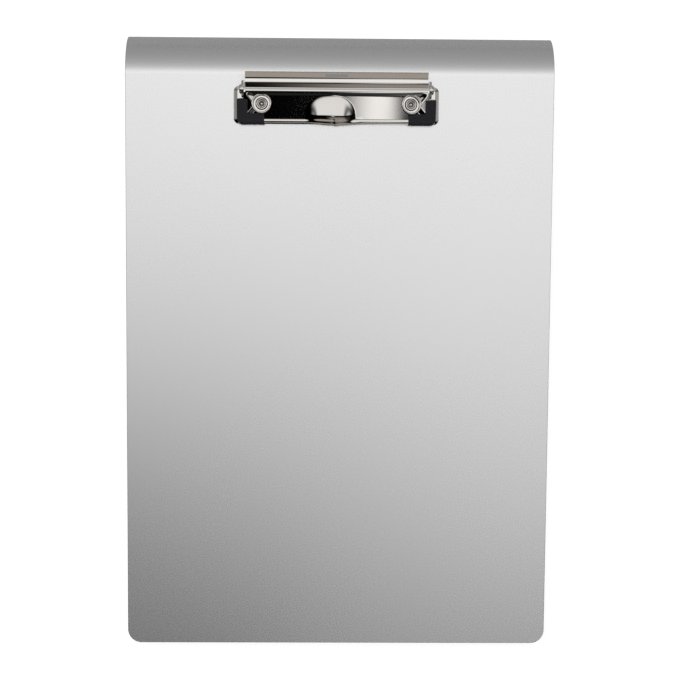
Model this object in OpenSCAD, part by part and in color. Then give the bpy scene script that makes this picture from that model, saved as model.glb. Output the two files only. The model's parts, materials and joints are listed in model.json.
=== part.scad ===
// Storage clipboard box: an aluminium writing lid, rolled over at its top end, hinged on a shallow
// wedge-shaped tray. A sprung metal clip with rubber corners is riveted to the lid.
// Millimetres. +Z up, +X right, +Y towards the rolled end. The origin is under the middle of the box.

/* [Lid] */
// Width of the lid
board_w = 230; // [222:1:250]
// Length of the flat writing face, from the roll to the bottom edge
board_flat = 311; // [290:1:340]
// Outside radius of the roll
roll_r = 21; // [19:0.5:24]
// Thickness of the lid sheet
lid_t = 1.5; // [1.2:0.1:2]
// Radius of the two bottom corners
corner_r = 7.5; // [4:0.5:10]
// Height of the closed lid's bottom edge above the table
front_h = 16.4; // [15.5:0.1:18]
// How far the roll passes below the level of its own axis, in degrees
roll_tail = 3; // [1:1:6]
// Gap between the roll and the curl of the tray inside it
roll_gap = 0.4; // [0.3:0.1:0.6]

/* [Tray] */
// Thickness of the tray sheet
tray_t = 1.2; // [1:0.1:1.5]
// Height of the tray's underside above the table
foot_h = 3.5; // [3:0.5:6]
// Setback of the front wall behind the lid's bottom edge
front_inset = 3; // [2.5:0.5:5]
// How far the tray's curl climbs above the level of its axis, in degrees
curl_top = 25; // [15:5:35]
// Gap between the side walls and the curl around them
curl_fit = 0.15; // [0.1:0.05:0.3]
// Outside radius of the bends along the front wall
bend_r = 2.5; // [2:0.1:3]
// Width of the side walls' bottom flanges
floor_flange = 10; // [9:0.5:12]
// Width of the return along the top of the side walls
rim_return = 5; // [4:0.5:6]
// Depth of the flange along the top of the front wall
front_flange = 13; // [12.5:0.5:16]

/* [Hinge] */
// Setback of the cheeks from the lid's side edges
cheek_inset = 1.5; // [1.3:0.1:2]
// Thickness of the cheeks
cheek_t = 1.5; // [1.2:0.1:2]
// Length of the cheeks in front of the hinge axis
cheek_tail = 54; // [44:1:64]
// Depth of the cheeks' tails
cheek_depth = 13; // [10:1:15]
// Width of the flanges that hold the cheeks to the lid
cheek_flange = 10; // [8:0.5:12]
// Thickness of these flanges
cheek_flange_t = 1.2; // [0.8:0.1:1.4]
// Distance of these flanges from the hinge axis
cheek_flange_end = 9; // [8:0.5:14]
// Radius of the round corner of the cheeks' tails
cheek_corner = 4; // [2:0.5:6]
// Radius of the hinge pins
pivot_r = 2.5; // [2:0.1:3]
// Radius of the hinge pins' heads
pivot_head_r = 5; // [4.5:0.1:6]
// Thickness of the hinge pins' outer heads
pivot_head_t = 1.1; // [0.8:0.1:1.2]
// Radius of the hinge pins' set inner ends
pivot_set_r = 3.8; // [3.4:0.1:4.5]
// Thickness of the washers between the cheeks and the side walls
washer_t = 0.5; // [0.4:0.05:0.8]
// Radius of these washers
washer_r = 6.5; // [5:0.5:9]

/* [Closing] */
// Distance of the magnets from the middle
magnet_x = 60; // [40:1:80]
// Radius of the magnets
magnet_r = 5; // [4:0.5:5.5]
// Thickness of the magnets
magnet_t = 2; // [1.5:0.1:2.5]
// Thickness of the strike discs under the lid
strike_t = 1; // [0.6:0.1:1.1]
// Distance of the rubber bumpers from the side walls' outer faces
bumper_in = 14.5; // [12:0.5:25]
// Radius of the rubber bumpers
bumper_r = 4; // [3:0.5:5]
// Thickness of the rubber bumpers
bumper_t = 1.3; // [1:0.1:1.4]

/* [Feet and rivets] */
// Radius of a foot where it meets the tray
foot_r = 7; // [6:0.5:9]
// Distance of the feet from the side walls' outer faces
foot_in = 19.5; // [19:0.5:35]
// Distance of the front feet from the front wall
foot_front = 22; // [18:1:40]
// Distance of the rear feet from the hinge axis
foot_rear = 24; // [20:1:40]
// Radius of the tray rivets' shanks
rivet_r = 1.6; // [1.2:0.1:2]
// Number of rivets along each side
rivet_count = 4; // [3:1:6]
// Distance of the first of these rivets from the front wall
rivet_first = 26; // [20:1:40]
// Distance of the last of these rivets from the hinge axis
rivet_last = 34; // [30:1:50]

/* [Clip] */
// Sideways place of the clip on the lid
clip_offset = -2; // [-4:0.5:4]
// Width of the clip's base
clip_w = 110; // [104:1:120]
// Distance from the roll to the base's upper edge
clip_start = 6; // [5.5:0.5:8]
// Distance from the roll to the base's lower edge
clip_end = 26.2; // [25.8:0.1:28]
// Thickness of the base
base_t = 1; // [0.8:0.1:1.2]
// Length of the base beyond its lugs
base_margin = 4.4; // [4:0.1:5.5]
// Radius of the lugs of the base
lug_r = 4.6; // [4.4:0.1:4.7]
// Radius of the base's corners
base_corner = 3; // [1:0.5:5]
// Distance of the clip rivets from the base's ends
rivet_in = 15; // [14:0.5:22]
// Distance of the clip rivets from the roll
rivet_u = 15.4; // [15:0.1:16]
// Radius of the clip rivets' shanks
clip_rivet_r = 2.1; // [1.8:0.1:2.4]
// Radius of the clip rivets' heads
clip_rivet_head_r = 3.4; // [3:0.1:3.7]
// Thickness of the clip rivets' heads
clip_rivet_head_t = 0.9; // [0.6:0.1:1.2]
// Thickness of the washers under the lid
rivet_washer_t = 0.8; // [0.6:0.1:1.2]
// Radius of these washers
rivet_washer_r = 5; // [4.5:0.5:7]

/* [Jaw] */
// Thickness of the jaw's sheet
jaw_t = 1; // [0.8:0.05:1.1]
// Length of the base beyond the jaw's ends
jaw_margin = 2.5; // [2:0.1:3.5]
// Setback of the lever's ends from the outer faces of the jaw's lugs
lever_in = 0.8; // [0.5:0.1:2]
// Distance of the clip's pin from the roll
pin_u = 7.8; // [7.6:0.1:8]
// Height of the clip's pin above the lid
pin_h = 4.8; // [4.7:0.1:4.9]
// Radius of the clip's pin
pin_r = 1.5; // [1.2:0.1:1.6]
// Width of the hanging slot in the lever
slot_w = 12; // [8:1:16]
// Height of the hanging slot
slot_h = 2; // [1.8:0.1:2.2]
// Depth of the pressed panel in the jaw's face
panel_depth = 0.5; // [0.3:0.05:0.6]
// Radius of the bosses around the rivet wells
boss_r = 5.3; // [5.1:0.1:5.6]
// Radius of the rivet wells
well_r = 4.4; // [4:0.1:4.6]
// Height of the middle emboss above the panel
emboss_h = 1.1; // [0.8:0.1:1.4]
// Half the width of the middle emboss
emboss_half = 16; // [12:1:20]

/* [Rubber corners] */
// Length of a rubber corner along the lip
grip_length = 14; // [11:0.5:16]
// Width of the part along the jaw's end
grip_side = 5; // [4:0.5:6]
// Depth of the part along the lip
grip_lip = 5.2; // [4.5:0.1:5.3]
// Distance of the rubber's upper end from the roll
grip_top = 13.4; // [13.2:0.1:14.5]
// Thickness of the rubber over the metal
grip_t = 0.6; // [0.4:0.05:0.7]

/* [Springs] */
// Radius of the spring wire
wire_r = 0.45; // [0.35:0.05:0.5]
// Middle radius of the coils
coil_r = 2.15; // [2.1:0.05:2.2]
// Turns in each spring
coil_turns = 6; // [4:1:8]
// Distance from one coil to the next
coil_pitch = 1.5; // [1.4:0.1:2]
// Distance of the springs' inner ends from the middle of the clip
spring_x = 14; // [10:1:18]

/* [Hidden] */
$fn = 64;
EPS = 0.01;
// Clearance of a shaft or rivet in its hole, and between pieces that lie against each other.
RUN = 0.05;
// Clearance between moving pieces.
CLEAR = 0.3;
// How much the feet and the bumpers narrow towards their free ends.
FOOT_TAPER = 1;
BUMPER_TAPER = 0.5;
LEFT = -1;
RIGHT = 1;

// The hinge axis is the axis of the roll. The closed lid slopes from the roll down to its bottom edge.
curl_r = roll_r - lid_t - roll_gap;
axis_z = foot_h + curl_r;
slope = acos((front_h - axis_z) / norm([roll_r, board_flat])) - atan2(board_flat, roll_r);
box_length = roll_r * (1 + sin(slope)) + board_flat * cos(slope);
axis_y = box_length / 2 - roll_r;
lid_under = roll_r - lid_t;
front_y = -box_length / 2 + front_inset;

// The cheek, washer and side wall follow one another inwards from the lid's edge.
cheek_out = board_w / 2 - cheek_inset;
cheek_in = cheek_out - cheek_t;
wall_out = cheek_in - washer_t;
wall_in = wall_out - tray_t;

// The side walls stand inside the curl, and their top edge runs on from their round end.
rim_w = curl_r - tray_t - curl_fit;
floor_top = foot_h + tray_t;
rim_length = (axis_y - front_y - tray_t - RUN) / cos(slope) - rim_w * tan(slope);

// The front wall's bends, and the flange between the side walls' returns.
top_bend_r = bend_r - 0.5;
top_bend_y = front_y + top_bend_r;
top_bend_z = height_at(top_bend_y, rim_w - top_bend_r);
flange_half = wall_out - rim_return - 0.5;
flange_mid = front_flange / 2 + 1;

// A tray rivet's flat outer head and its set inner end.
rivet_head_r = 2 * rivet_r;
rivet_head_t = 1;
rivet_set_r = 1.45 * rivet_r;
rivet_set_t = 1.4;

// The side walls' tabs stand above the pan's lower bend, and their flanges and returns end before the curl.
tab_w = 14;
tab_z = foot_h + bend_r + CLEAR;
flange_end = 6;
return_end = 9;
wall_notch = bend_r + 0.4;
// How far the side walls' own edges stay inside the faces of the flanges bent from them.
BEND_STEP = 0.1;

// The jaw's lugs turn inside the base's lugs, and its face reaches out past them below the lugs.
rivet_span = clip_w - 2 * rivet_in;
lug_out = clip_w / 2 - base_margin;
jaw_lug_r = pin_h - base_t - CLEAR;
jaw_lug_out = lug_out - base_t - CLEAR;
jaw_half = clip_w / 2 - jaw_margin;
lever_half = jaw_lug_out - lever_in;
pin_head_r = 2.4;
pin_head_t = 1.2;
PIN_CHAMFER = 0.7;

// The jaw's section, as corners [distance from the roll, height, bend radius] of the sheet's middle.
FACE_TOP = [8.7, 8.85];
FACE_END = [23.7, 5.2];
LIP_U = clip_end - 0.7;
JAW_CORNERS = [
    [-0.8, 12.55, 0],
    [2, 10.1, 0.6],
    [4.5, 10.1, 0.8],
    [7, 8.2, 0.6],
    [FACE_TOP[0], FACE_TOP[1], 0.9],
    [FACE_END[0], FACE_END[1], 1.2],
    [LIP_U, FACE_END[1], 1.5],
    [LIP_U, base_t + CLEAR + grip_t, 0]
];
face_angle = atan2(FACE_TOP[1] - FACE_END[1], FACE_END[0] - FACE_TOP[0]);
LEVER_TIP = [JAW_CORNERS[0][0], JAW_CORNERS[0][1]];
LEVER_FOOT = [JAW_CORNERS[1][0], JAW_CORNERS[1][1]];
lever_angle = atan2(LEVER_TIP[1] - LEVER_FOOT[1], LEVER_FOOT[0] - LEVER_TIP[0]);
lever_end_u = 9.4;
// The hanging slot's distance from the lever's tip, and the tab bent down from the slot's lower edge.
SLOT_IN = 0.7;
SLOT_TAB_T = 0.6;
SLOT_TAB_H = 2.2;
// Beyond the base's lugs the face starts below them.
face_end_u = pin_u + lug_r + 0.5;
// Where the jaw's lugs meet its face, furthest from the roll.
LUG_TAIL_U = 15;
boss_top = 8.6;

// Height above the table of a line that runs at a distance from the hinge axis, parallel to the lid.
function height_at(y, w) = axis_z + (w + (y - axis_y) * sin(slope)) / cos(slope);

// Height of the middle of the jaw's sheet on its sloping face.
function face_height(u) = FACE_TOP[1] - (u - FACE_TOP[0]) * tan(face_angle);

function unit(v) = v / norm(v);

// Points of a bend of radius r at corner b, between the corners a and c.
function bend_points(a, b, c, r, steps = 6) =
    let (
        to_a = unit(a - b),
        to_c = unit(c - b),
        half = acos(to_a * to_c) / 2,
        centre = b + unit(to_a + to_c) * r / sin(half),
        from_a = b + to_a * r / tan(half) - centre,
        from_c = b + to_c * r / tan(half) - centre
    )
    [for (i = [0:steps]) centre + r * unit(from_a * (steps - i) + from_c * i)];

function flat_point(p) = [p[0], p[1]];

// A sheet's middle line, with its corners bent to their radii.
function bent_line(corners) =
    let (last = len(corners) - 1)
    concat(
        [flat_point(corners[0])],
        [
            for (i = [1:last - 1])
                let (a = corners[i - 1], b = corners[i], c = corners[i + 1])
                    each bend_points(flat_point(a), flat_point(b), flat_point(c), b[2])
        ],
        [flat_point(corners[last])]
    );

// A line moved sideways by d, to the left of its own direction.
function beside(line, d) =
    let (last = len(line) - 1)
    [
        for (i = [0:last])
            let (
                before = unit(line[max(i, 1)] - line[max(i, 1) - 1]),
                after = unit(line[min(i + 1, last)] - line[min(i + 1, last) - 1]),
                middle = unit(before + after)
            )
            line[i] + [-middle[1], middle[0]] * d / (middle * before)
    ];

function reversed(list) = [for (i = [len(list) - 1:-1:0]) list[i]];

JAW_LINE = bent_line(JAW_CORNERS);

// A sheet's section about a line, with a reach on either side. The board's bottom edge is to the left.
module section(line, reach) {
    polygon([for (p = concat(beside(line, reach), reversed(beside(line, -reach)))) [-p[0], p[1]]]);
}

// Drawn in the Y-Z plane and made solid from x0 to x1.
module along_x(x0, x1) {
    translate([x0, 0, 0]) rotate([90, 0, 90]) linear_extrude(x1 - x0) children();
}

// A rolled band about the X axis, from angle a0 to a1, which count from +Y towards +Z.
module band(r, t, a0, a1, x0, x1) {
    rotate([90, 0, 90]) rotate([0, 0, a0]) rotate_extrude(angle = a1 - a0)
        translate([r - t, x0]) square([t, x1 - x0]);
}

// A round bar along X.
module bar(r, x0, x1) {
    translate([x0, 0, 0]) rotate([0, 90, 0]) cylinder(r = r, h = x1 - x0);
}

// The lid's frame: its origin is on the hinge axis, and its Z stands square to the lid.
module lid_frame() {
    translate([0, axis_y, axis_z]) rotate([slope, 0, 0]) children();
}

// The clip's frame: on the lid's face, at the start of the roll.
module clip_frame() {
    lid_frame() translate([clip_offset, 0, roll_r]) children();
}

// The clip pin's frame, on the pin's axis.
module pin_frame() {
    clip_frame() translate([0, -pin_u, pin_h]) children();
}

// The frame of the front wall's top flange.
module flange_frame() {
    translate([0, top_bend_y, top_bend_z]) rotate([slope, 0, 0]) children();
}

// A rectangle from its lower left corner, with all four corners round.
module round_rect(size, r) {
    translate([r, 0]) square([size[0] - 2 * r, size[1]]);
    translate([0, r]) square([size[0], size[1] - 2 * r]);
    for (x = [r, size[0] - r], y = [r, size[1] - r]) translate([x, y]) circle(r);
}

// The lid's flat face, with its bottom corners round.
module face_outline() {
    half = board_w / 2;
    translate([-half, corner_r - board_flat]) square([board_w, board_flat - corner_r]);
    translate([corner_r - half, -board_flat]) square([board_w - 2 * corner_r, 2 * corner_r]);
    for (x = [corner_r - half, half - corner_r]) translate([x, corner_r - board_flat]) circle(corner_r);
}

module lid_plate() {
    color("gainsboro") lid_frame() difference() {
        union() {
            translate([0, 0, lid_under]) linear_extrude(lid_t) face_outline();
            mirror([0, 0, 1]) band(roll_r, lid_t, -90, roll_tail + slope, -board_w / 2, board_w / 2);
        }
        for (side = [LEFT, RIGHT])
            translate([clip_offset + side * rivet_span / 2, -rivet_u, lid_under - 1])
                cylinder(r = clip_rivet_r + RUN, h = lid_t + 2);
    }
}

module cheek(side) {
    x0 = side == RIGHT ? cheek_in : -cheek_out;
    flange_x = side == RIGHT ? cheek_out - cheek_flange : -cheek_out;
    color("silver") lid_frame() difference() {
        union() {
            along_x(x0, x0 + cheek_t) {
                circle(lid_under - RUN);
                translate([-cheek_tail, lid_under - cheek_depth]) square([cheek_tail, cheek_depth - RUN]);
            }
            translate([flange_x, -cheek_tail, lid_under - cheek_flange_t])
                cube([cheek_flange, cheek_tail - cheek_flange_end, cheek_flange_t]);
        }
        bar(pivot_r + RUN, x0 - 1, x0 + cheek_t + 1);
        translate([x0 - 1, -cheek_tail, lid_under - cheek_depth]) rotate([0, 90, 0]) difference() {
            cube([2 * cheek_corner, 2 * cheek_corner, 2 * (cheek_t + 2)], center = true);
            translate([-cheek_corner, cheek_corner, 0])
                cylinder(r = cheek_corner, h = 3 * (cheek_t + 2), center = true);
        }
    }
}

module base_pan() {
    color("lightgray") difference() {
        union() {
            translate([-wall_out, front_y + bend_r, foot_h])
                cube([2 * wall_out, axis_y - front_y - bend_r, tray_t]);
            translate([0, axis_y, axis_z]) band(curl_r, tray_t, -90, curl_top, -wall_out, wall_out);
            translate([0, front_y + bend_r, foot_h + bend_r])
                band(bend_r, tray_t, 180, 270, -wall_out, wall_out);
            translate([-wall_out, front_y, foot_h + bend_r])
                cube([2 * wall_out, tray_t, top_bend_z - foot_h - bend_r]);
            translate([0, top_bend_y, top_bend_z])
                band(top_bend_r, tray_t, 90 + slope, 180, -flange_half, flange_half);
            flange_frame() translate([-flange_half, 0, top_bend_r - tray_t])
                cube([2 * flange_half, front_flange - top_bend_r, tray_t]);
        }
        tray_rivet_places() cylinder(r = rivet_r + RUN, h = 4 * tray_t, center = true);
    }
}

// The places of the tray rivets on the sheet's outer face, with Z pointing outwards.
module tray_rivet_places() {
    first = front_y + rivet_first;
    step = (axis_y - rivet_last - first) / (rivet_count - 1);
    for (side = [LEFT, RIGHT]) {
        for (i = [0:rivet_count - 1])
            translate([side * (wall_out - (floor_flange + tray_t) / 2), first + i * step, foot_h])
                rotate([180, 0, 0]) children();
        translate([side * (wall_out - tab_w / 2 - tray_t / 2), front_y, (tab_z + top_bend_z) / 2])
            rotate([90, 0, 0]) children();
    }
}

module tray_rivets() {
    stack = 2 * tray_t + RUN;
    color("darkgray") tray_rivet_places() {
        intersection() {
            cylinder(r = rivet_head_r, h = rivet_head_t);
            translate([0, 0, rivet_head_t - 2 * rivet_head_r]) sphere(2 * rivet_head_r);
        }
        translate([0, 0, -stack - EPS]) cylinder(r = rivet_r, h = stack + 2 * EPS);
        translate([0, 0, -stack - rivet_set_t]) cylinder(r = rivet_set_r, h = rivet_set_t);
    }
}

// A point given by its place over the table, in the lid's frame.
function in_lid(y, z) = [
    (y - axis_y) * cos(slope) + (z - axis_z) * sin(slope),
    (z - axis_z) * cos(slope) - (y - axis_y) * sin(slope)
];

// A side wall's outline in the lid's frame: a wedge under the rim line, with a round end inside the curl.
module wall_outline() {
    low = axis_z - rim_w + BEND_STEP;
    inner_y = front_y + tray_t + RUN + 3 * BEND_STEP;
    notch_y = front_y + wall_notch;
    circle(rim_w);
    polygon([
        in_lid(notch_y, low),
        in_lid(axis_y, low),
        [0, 0],
        [0, rim_w - BEND_STEP],
        [3 * BEND_STEP - rim_length, rim_w - BEND_STEP],
        in_lid(inner_y, tab_z + 0.5),
        in_lid(notch_y, tab_z + 0.5)
    ]);
}

// The flange, the tab and the return grow out of the middle of the wall's thickness.
module side_wall(side) {
    x0 = side == RIGHT ? wall_in : -wall_out;
    middle = wall_out - tray_t / 2;
    flange_x = side == RIGHT ? wall_out - floor_flange : -middle;
    return_x = side == RIGHT ? wall_out - rim_return : -middle;
    tab_x = side == RIGHT ? wall_out - tab_w : -middle;
    flange_y = front_y + bend_r + 0.2;
    color("lightgray") difference() {
        union() {
            lid_frame() along_x(x0, x0 + tray_t) wall_outline();
            translate([flange_x, flange_y, floor_top + RUN])
                cube([floor_flange - tray_t / 2, axis_y - flange_end - flange_y, tray_t]);
            translate([tab_x, front_y + tray_t + RUN, tab_z])
                cube([tab_w - tray_t / 2, tray_t, height_at(front_y, rim_w - top_bend_r) - tab_z]);
            lid_frame() translate([return_x, -rim_length, rim_w - tray_t])
                cube([rim_return - tray_t / 2, rim_length - return_end, tray_t]);
        }
        translate([0, axis_y, axis_z]) bar(pivot_r + RUN, x0 - 1, x0 + tray_t + 1);
        tray_rivet_places() cylinder(r = rivet_r + RUN, h = 6 * tray_t, center = true);
    }
}

// A hinge pin: a flat head outside the cheek, and a set end inside the side wall.
module pivot_pin(side) {
    set_t = 1.2;
    color("silver") translate([0, axis_y, axis_z]) rotate([0, side == RIGHT ? 0 : 180, 0]) {
        bar(pivot_head_r, cheek_out + RUN, cheek_out + RUN + pivot_head_t);
        bar(pivot_r, wall_in - set_t, cheek_out + RUN + EPS);
        bar(pivot_set_r, wall_in - set_t - RUN, wall_in - RUN);
    }
}

module pivot_washer(side) {
    turn = side == RIGHT ? 0 : 180;
    color("whitesmoke") translate([0, axis_y, axis_z]) rotate([0, turn, 0]) difference() {
        bar(washer_r, wall_out + RUN / 2, cheek_in - RUN);
        bar(pivot_r + RUN, wall_out - 1, cheek_in + 1);
    }
}

module foot(side, y) {
    color("dimgray") translate([side * (wall_out - foot_in), y, 0])
        cylinder(r1 = foot_r - FOOT_TAPER, r2 = foot_r, h = foot_h);
}

module magnet(side) {
    color("slategray") flange_frame()
        translate([side * magnet_x, flange_mid - top_bend_r, top_bend_r - tray_t - magnet_t])
            cylinder(r = magnet_r, h = magnet_t);
}

module strike(side) {
    reach = (axis_y - top_bend_y) / cos(slope) - (rim_w - top_bend_r) * tan(slope);
    strike_y = flange_mid - top_bend_r - reach;
    color("gray") lid_frame() translate([side * magnet_x, strike_y, lid_under - strike_t])
        cylinder(r = magnet_r + 1, h = strike_t);
}

module lid_bumper(side) {
    bumper_x = side * (wall_out - bumper_in);
    color("dimgray") flange_frame() translate([bumper_x, flange_mid - top_bend_r, top_bend_r])
        cylinder(r1 = bumper_r, r2 = bumper_r - BUMPER_TAPER, h = bumper_t);
}

module clip_base() {
    color("lightsteelblue") clip_frame() difference() {
        union() {
            translate([-clip_w / 2, -clip_end, 0]) linear_extrude(base_t)
                round_rect([clip_w, clip_end - clip_start], base_corner);
            for (side = [LEFT, RIGHT])
                translate([side * (lug_out - base_t / 2), 0, 0]) along_x(-base_t / 2, base_t / 2) {
                    translate([-pin_u, pin_h]) circle(lug_r);
                    translate([-pin_u - lug_r, 0]) square([2 * lug_r, pin_h]);
                }
        }
        translate([0, -pin_u, pin_h]) bar(pin_r + RUN, -clip_w, clip_w);
        for (side = [LEFT, RIGHT])
            translate([side * rivet_span / 2, -rivet_u, -1])
                cylinder(r = clip_rivet_r + RUN, h = base_t + 2);
    }
}

// A clip rivet: a head with a hollow, a shank through the base and the lid, and a set end below.
module clip_rivet(side) {
    hollow_r = clip_rivet_r - 0.1;
    chamfer = 0.5;
    set_t = 0.7;
    reach = lid_t + rivet_washer_t + RUN;
    color("lightsteelblue") clip_frame() translate([side * rivet_span / 2, -rivet_u, 0]) difference() {
        union() {
            translate([0, 0, base_t + RUN])
                cylinder(r1 = clip_rivet_head_r, r2 = clip_rivet_head_r - chamfer, h = clip_rivet_head_t);
            translate([0, 0, -reach - EPS]) cylinder(r = clip_rivet_r, h = reach + base_t + RUN + 2 * EPS);
            translate([0, 0, -reach - set_t]) cylinder(r = clip_rivet_head_r - chamfer, h = set_t);
        }
        translate([0, 0, base_t - 0.6])
            cylinder(r1 = hollow_r - chamfer, r2 = hollow_r, h = clip_rivet_head_t + 1);
    }
}

module rivet_washer(side) {
    color("silver") clip_frame()
        translate([side * rivet_span / 2, -rivet_u, -lid_t - rivet_washer_t - RUN / 2]) difference() {
            cylinder(r = rivet_washer_r, h = rivet_washer_t);
            translate([0, 0, -1]) cylinder(r = clip_rivet_r + RUN, h = rivet_washer_t + 2);
        }
}

module clip_pin() {
    color("silver") pin_frame() {
        bar(pin_r, -lug_out - RUN - EPS, lug_out + RUN + EPS);
        for (side = [LEFT, RIGHT]) rotate([0, side * 90, 0]) translate([0, 0, lug_out + RUN]) {
            cylinder(r = pin_head_r, h = pin_head_t / 2);
            translate([0, 0, pin_head_t / 2])
                cylinder(r1 = pin_head_r, r2 = pin_head_r - PIN_CHAMFER, h = pin_head_t / 2);
        }
    }
}

// A spring's route about the pin: a leg on the base, the coils, and a leg under the lever.
COIL_STEPS = 8;
COIL_FROM = 250;
COIL_TO = 200 - 360 * coil_turns;
foot_run = 4;
lever_leg = 5.3;
function on_coil(a) = [coil_pitch * (COIL_FROM - a) / 360, -coil_r * cos(a), coil_r * sin(a)];
function spring_line() =
    let (
        count = round((COIL_FROM - COIL_TO) / 360 * COIL_STEPS),
        coil = [for (i = [0:count]) on_coil(COIL_FROM + (COIL_TO - COIL_FROM) * i / count)],
        away = [0, sin(COIL_FROM), cos(COIL_FROM)],
        drop = coil[0][2] + pin_h - base_t - wire_r - RUN,
        foot = coil[0] - away * drop / cos(COIL_FROM),
        leaving = [0, -sin(COIL_TO), -cos(COIL_TO)]
    )
    concat(
        [foot - [0, foot_run, 0], foot - [0, 2 * wire_r, 0], foot, coil[0] + away * 2 * wire_r],
        coil,
        [for (reach = [2 * wire_r, lever_leg / 2, lever_leg]) coil[count] + leaving * reach]
    );

// A round wire of a few sides along a line that never runs along X.
module wire(line, r, sides = 6) {
    last = len(line) - 1;
    rings = [
        for (i = [0:last])
            let (
                along = unit(line[min(i + 1, last)] - line[max(i - 1, 0)]),
                across = unit(cross(along, [1, 0, 0])),
                up = cross(along, across)
            )
            for (k = [0:sides - 1])
                let (a = 360 * k / sides) line[i] + r * (cos(a) * across + sin(a) * up)
    ];
    walls = [
        for (i = [0:last - 1], k = [0:sides - 1])
            let (a = i * sides + k, b = i * sides + (k + 1) % sides)
            each [[a, b, a + sides], [b, b + sides, a + sides]]
    ];
    caps = [
        for (k = [1:sides - 2])
            each [[0, k + 1, k], [last * sides, last * sides + k, last * sides + k + 1]]
    ];
    polyhedron(rings, concat(walls, caps));
}

SPRING = spring_line();
// The least gap of the wire to itself, between points that are at least half a turn apart along it.
least_gap = min([
    for (i = [0:len(SPRING) - 1], j = [0:len(SPRING) - 1])
        if (j - i >= COIL_STEPS / 2) norm(SPRING[i] - SPRING[j])
]) - 2 * wire_r;
echo(least_gap_of_spring_wire = least_gap);

module spring(side) {
    color("darkgray") pin_frame() mirror([side == RIGHT ? 0 : 1, 0, 0])
        translate([spring_x, 0, 0]) wire(SPRING, wire_r);
}

// The pressed panel in the jaw's face: it lies in the sloping face, and runs short of the ends and the lip.
module panel_frame() {
    translate([0, -FACE_TOP[0], FACE_TOP[1]]) rotate([face_angle, 0, 0])
        translate([0, 0, jaw_t / 2]) children();
}

// On the lever's tip, with -Y down the lever and Z square to it.
module lever_frame() {
    translate([0, -LEVER_TIP[0], LEVER_TIP[1]]) rotate([lever_angle, 0, 0]) children();
}

module clip_jaw() {
    face_length = norm(FACE_END - FACE_TOP);
    panel_half = jaw_half - grip_side - 0.5;
    panel_from = 1.6;
    panel_w = face_length - 2.2;
    emboss_r = (emboss_half * emboss_half + emboss_h * emboss_h) / (2 * emboss_h);
    color("lightsteelblue") clip_frame() difference() {
        union() {
            difference() {
                along_x(-jaw_half, jaw_half) section(JAW_LINE, jaw_t / 2);
                for (side = [LEFT, RIGHT], cut = [[lever_half, lever_end_u], [jaw_lug_out, face_end_u]])
                    translate([side * (cut[0] + jaw_half) - jaw_half, -cut[1], 0])
                        cube([2 * jaw_half, 2 * cut[1], 30]);
                panel_frame() translate([-panel_half, -panel_w, -panel_depth])
                    linear_extrude(3) round_rect([2 * panel_half, panel_w - panel_from], 3);
            }
            for (side = [LEFT, RIGHT]) {
                translate([side * rivet_span / 2, -rivet_u, face_height(rivet_u + boss_r)])
                    cylinder(r = boss_r, h = boss_top - face_height(rivet_u + boss_r));
                jaw_lug(side);
            }
            lever_frame() translate([-slot_w / 2, -SLOT_IN - slot_h - SLOT_TAB_T, -SLOT_TAB_H])
                cube([slot_w, SLOT_TAB_T + EPS, SLOT_TAB_H]);
            panel_frame() intersection() {
                translate([0, -face_length / 2, emboss_h - panel_depth - emboss_r])
                    sphere(emboss_r, $fn = 128);
                translate([-emboss_half - 2, -panel_w, -panel_depth - 0.2])
                    cube([2 * emboss_half + 4, panel_w - panel_from, 5]);
            }
        }
        for (side = [LEFT, RIGHT])
            translate([side * rivet_span / 2, -rivet_u, 0]) cylinder(r = well_r, h = 2 * boss_top);
        lever_frame() translate([-slot_w / 2, -SLOT_IN - slot_h, -2 * SLOT_TAB_H])
            cube([slot_w, slot_h, 4 * SLOT_TAB_H]);
        translate([0, -pin_u, pin_h]) bar(pin_r + RUN, -clip_w, clip_w);
    }
}

// A lug turned down from the end of the jaw, around the pin.
module jaw_lug(side) {
    x0 = side == RIGHT ? jaw_lug_out - jaw_t : -jaw_lug_out;
    along_x(x0, x0 + jaw_t) {
        translate([-pin_u, pin_h]) circle(jaw_lug_r);
        polygon([
            [-pin_u + jaw_lug_r * sin(15), pin_h + jaw_lug_r * cos(15)],
            [-lever_end_u, face_height(lever_end_u)],
            [-LUG_TAIL_U, face_height(LUG_TAIL_U)],
            [-pin_u - jaw_lug_r * cos(20), pin_h - jaw_lug_r * sin(20)],
            [-pin_u, pin_h]
        ]);
    }
}

// The line of the rubber corners' sheet, from a distance on the jaw's face down over the lip.
function grip_line(from_u, end_h) = bent_line([
    [from_u, face_height(from_u)],
    [FACE_END[0], FACE_END[1], 2],
    JAW_CORNERS[6],
    [LIP_U, end_h]
]);

// A rubber corner: it caps the jaw's end and lip in the shape of an L.
module grip(side) {
    outer = jaw_half + grip_t;
    inner = jaw_half - grip_side;
    lip_u = clip_end - grip_lip;
    reach = jaw_t / 2 + grip_t;
    inside = jaw_t / 2 + RUN;
    end_h = base_t + CLEAR;
    color("dimgray") clip_frame() mirror([side == RIGHT ? 0 : 1, 0, 0]) difference() {
        along_x(jaw_half - grip_length, outer) section(grip_line(grip_top, end_h), reach);
        translate([0, -lip_u, 0]) cube([inner, lip_u, 2 * boss_top]);
        along_x(0, jaw_half + RUN) section(grip_line(grip_top - 2, end_h + grip_t - RUN), inside);
        translate([rivet_span / 2, -rivet_u, 0]) cylinder(r = boss_r + RUN, h = 2 * boss_top);
        along_x(jaw_lug_out - jaw_t - CLEAR, jaw_lug_out + CLEAR) polygon([
            [-lever_end_u, 0],
            [-LUG_TAIL_U - CLEAR, 0],
            [-LUG_TAIL_U - CLEAR, face_height(LUG_TAIL_U)],
            [-lever_end_u, face_height(lever_end_u)]
        ]);
    }
}

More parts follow.
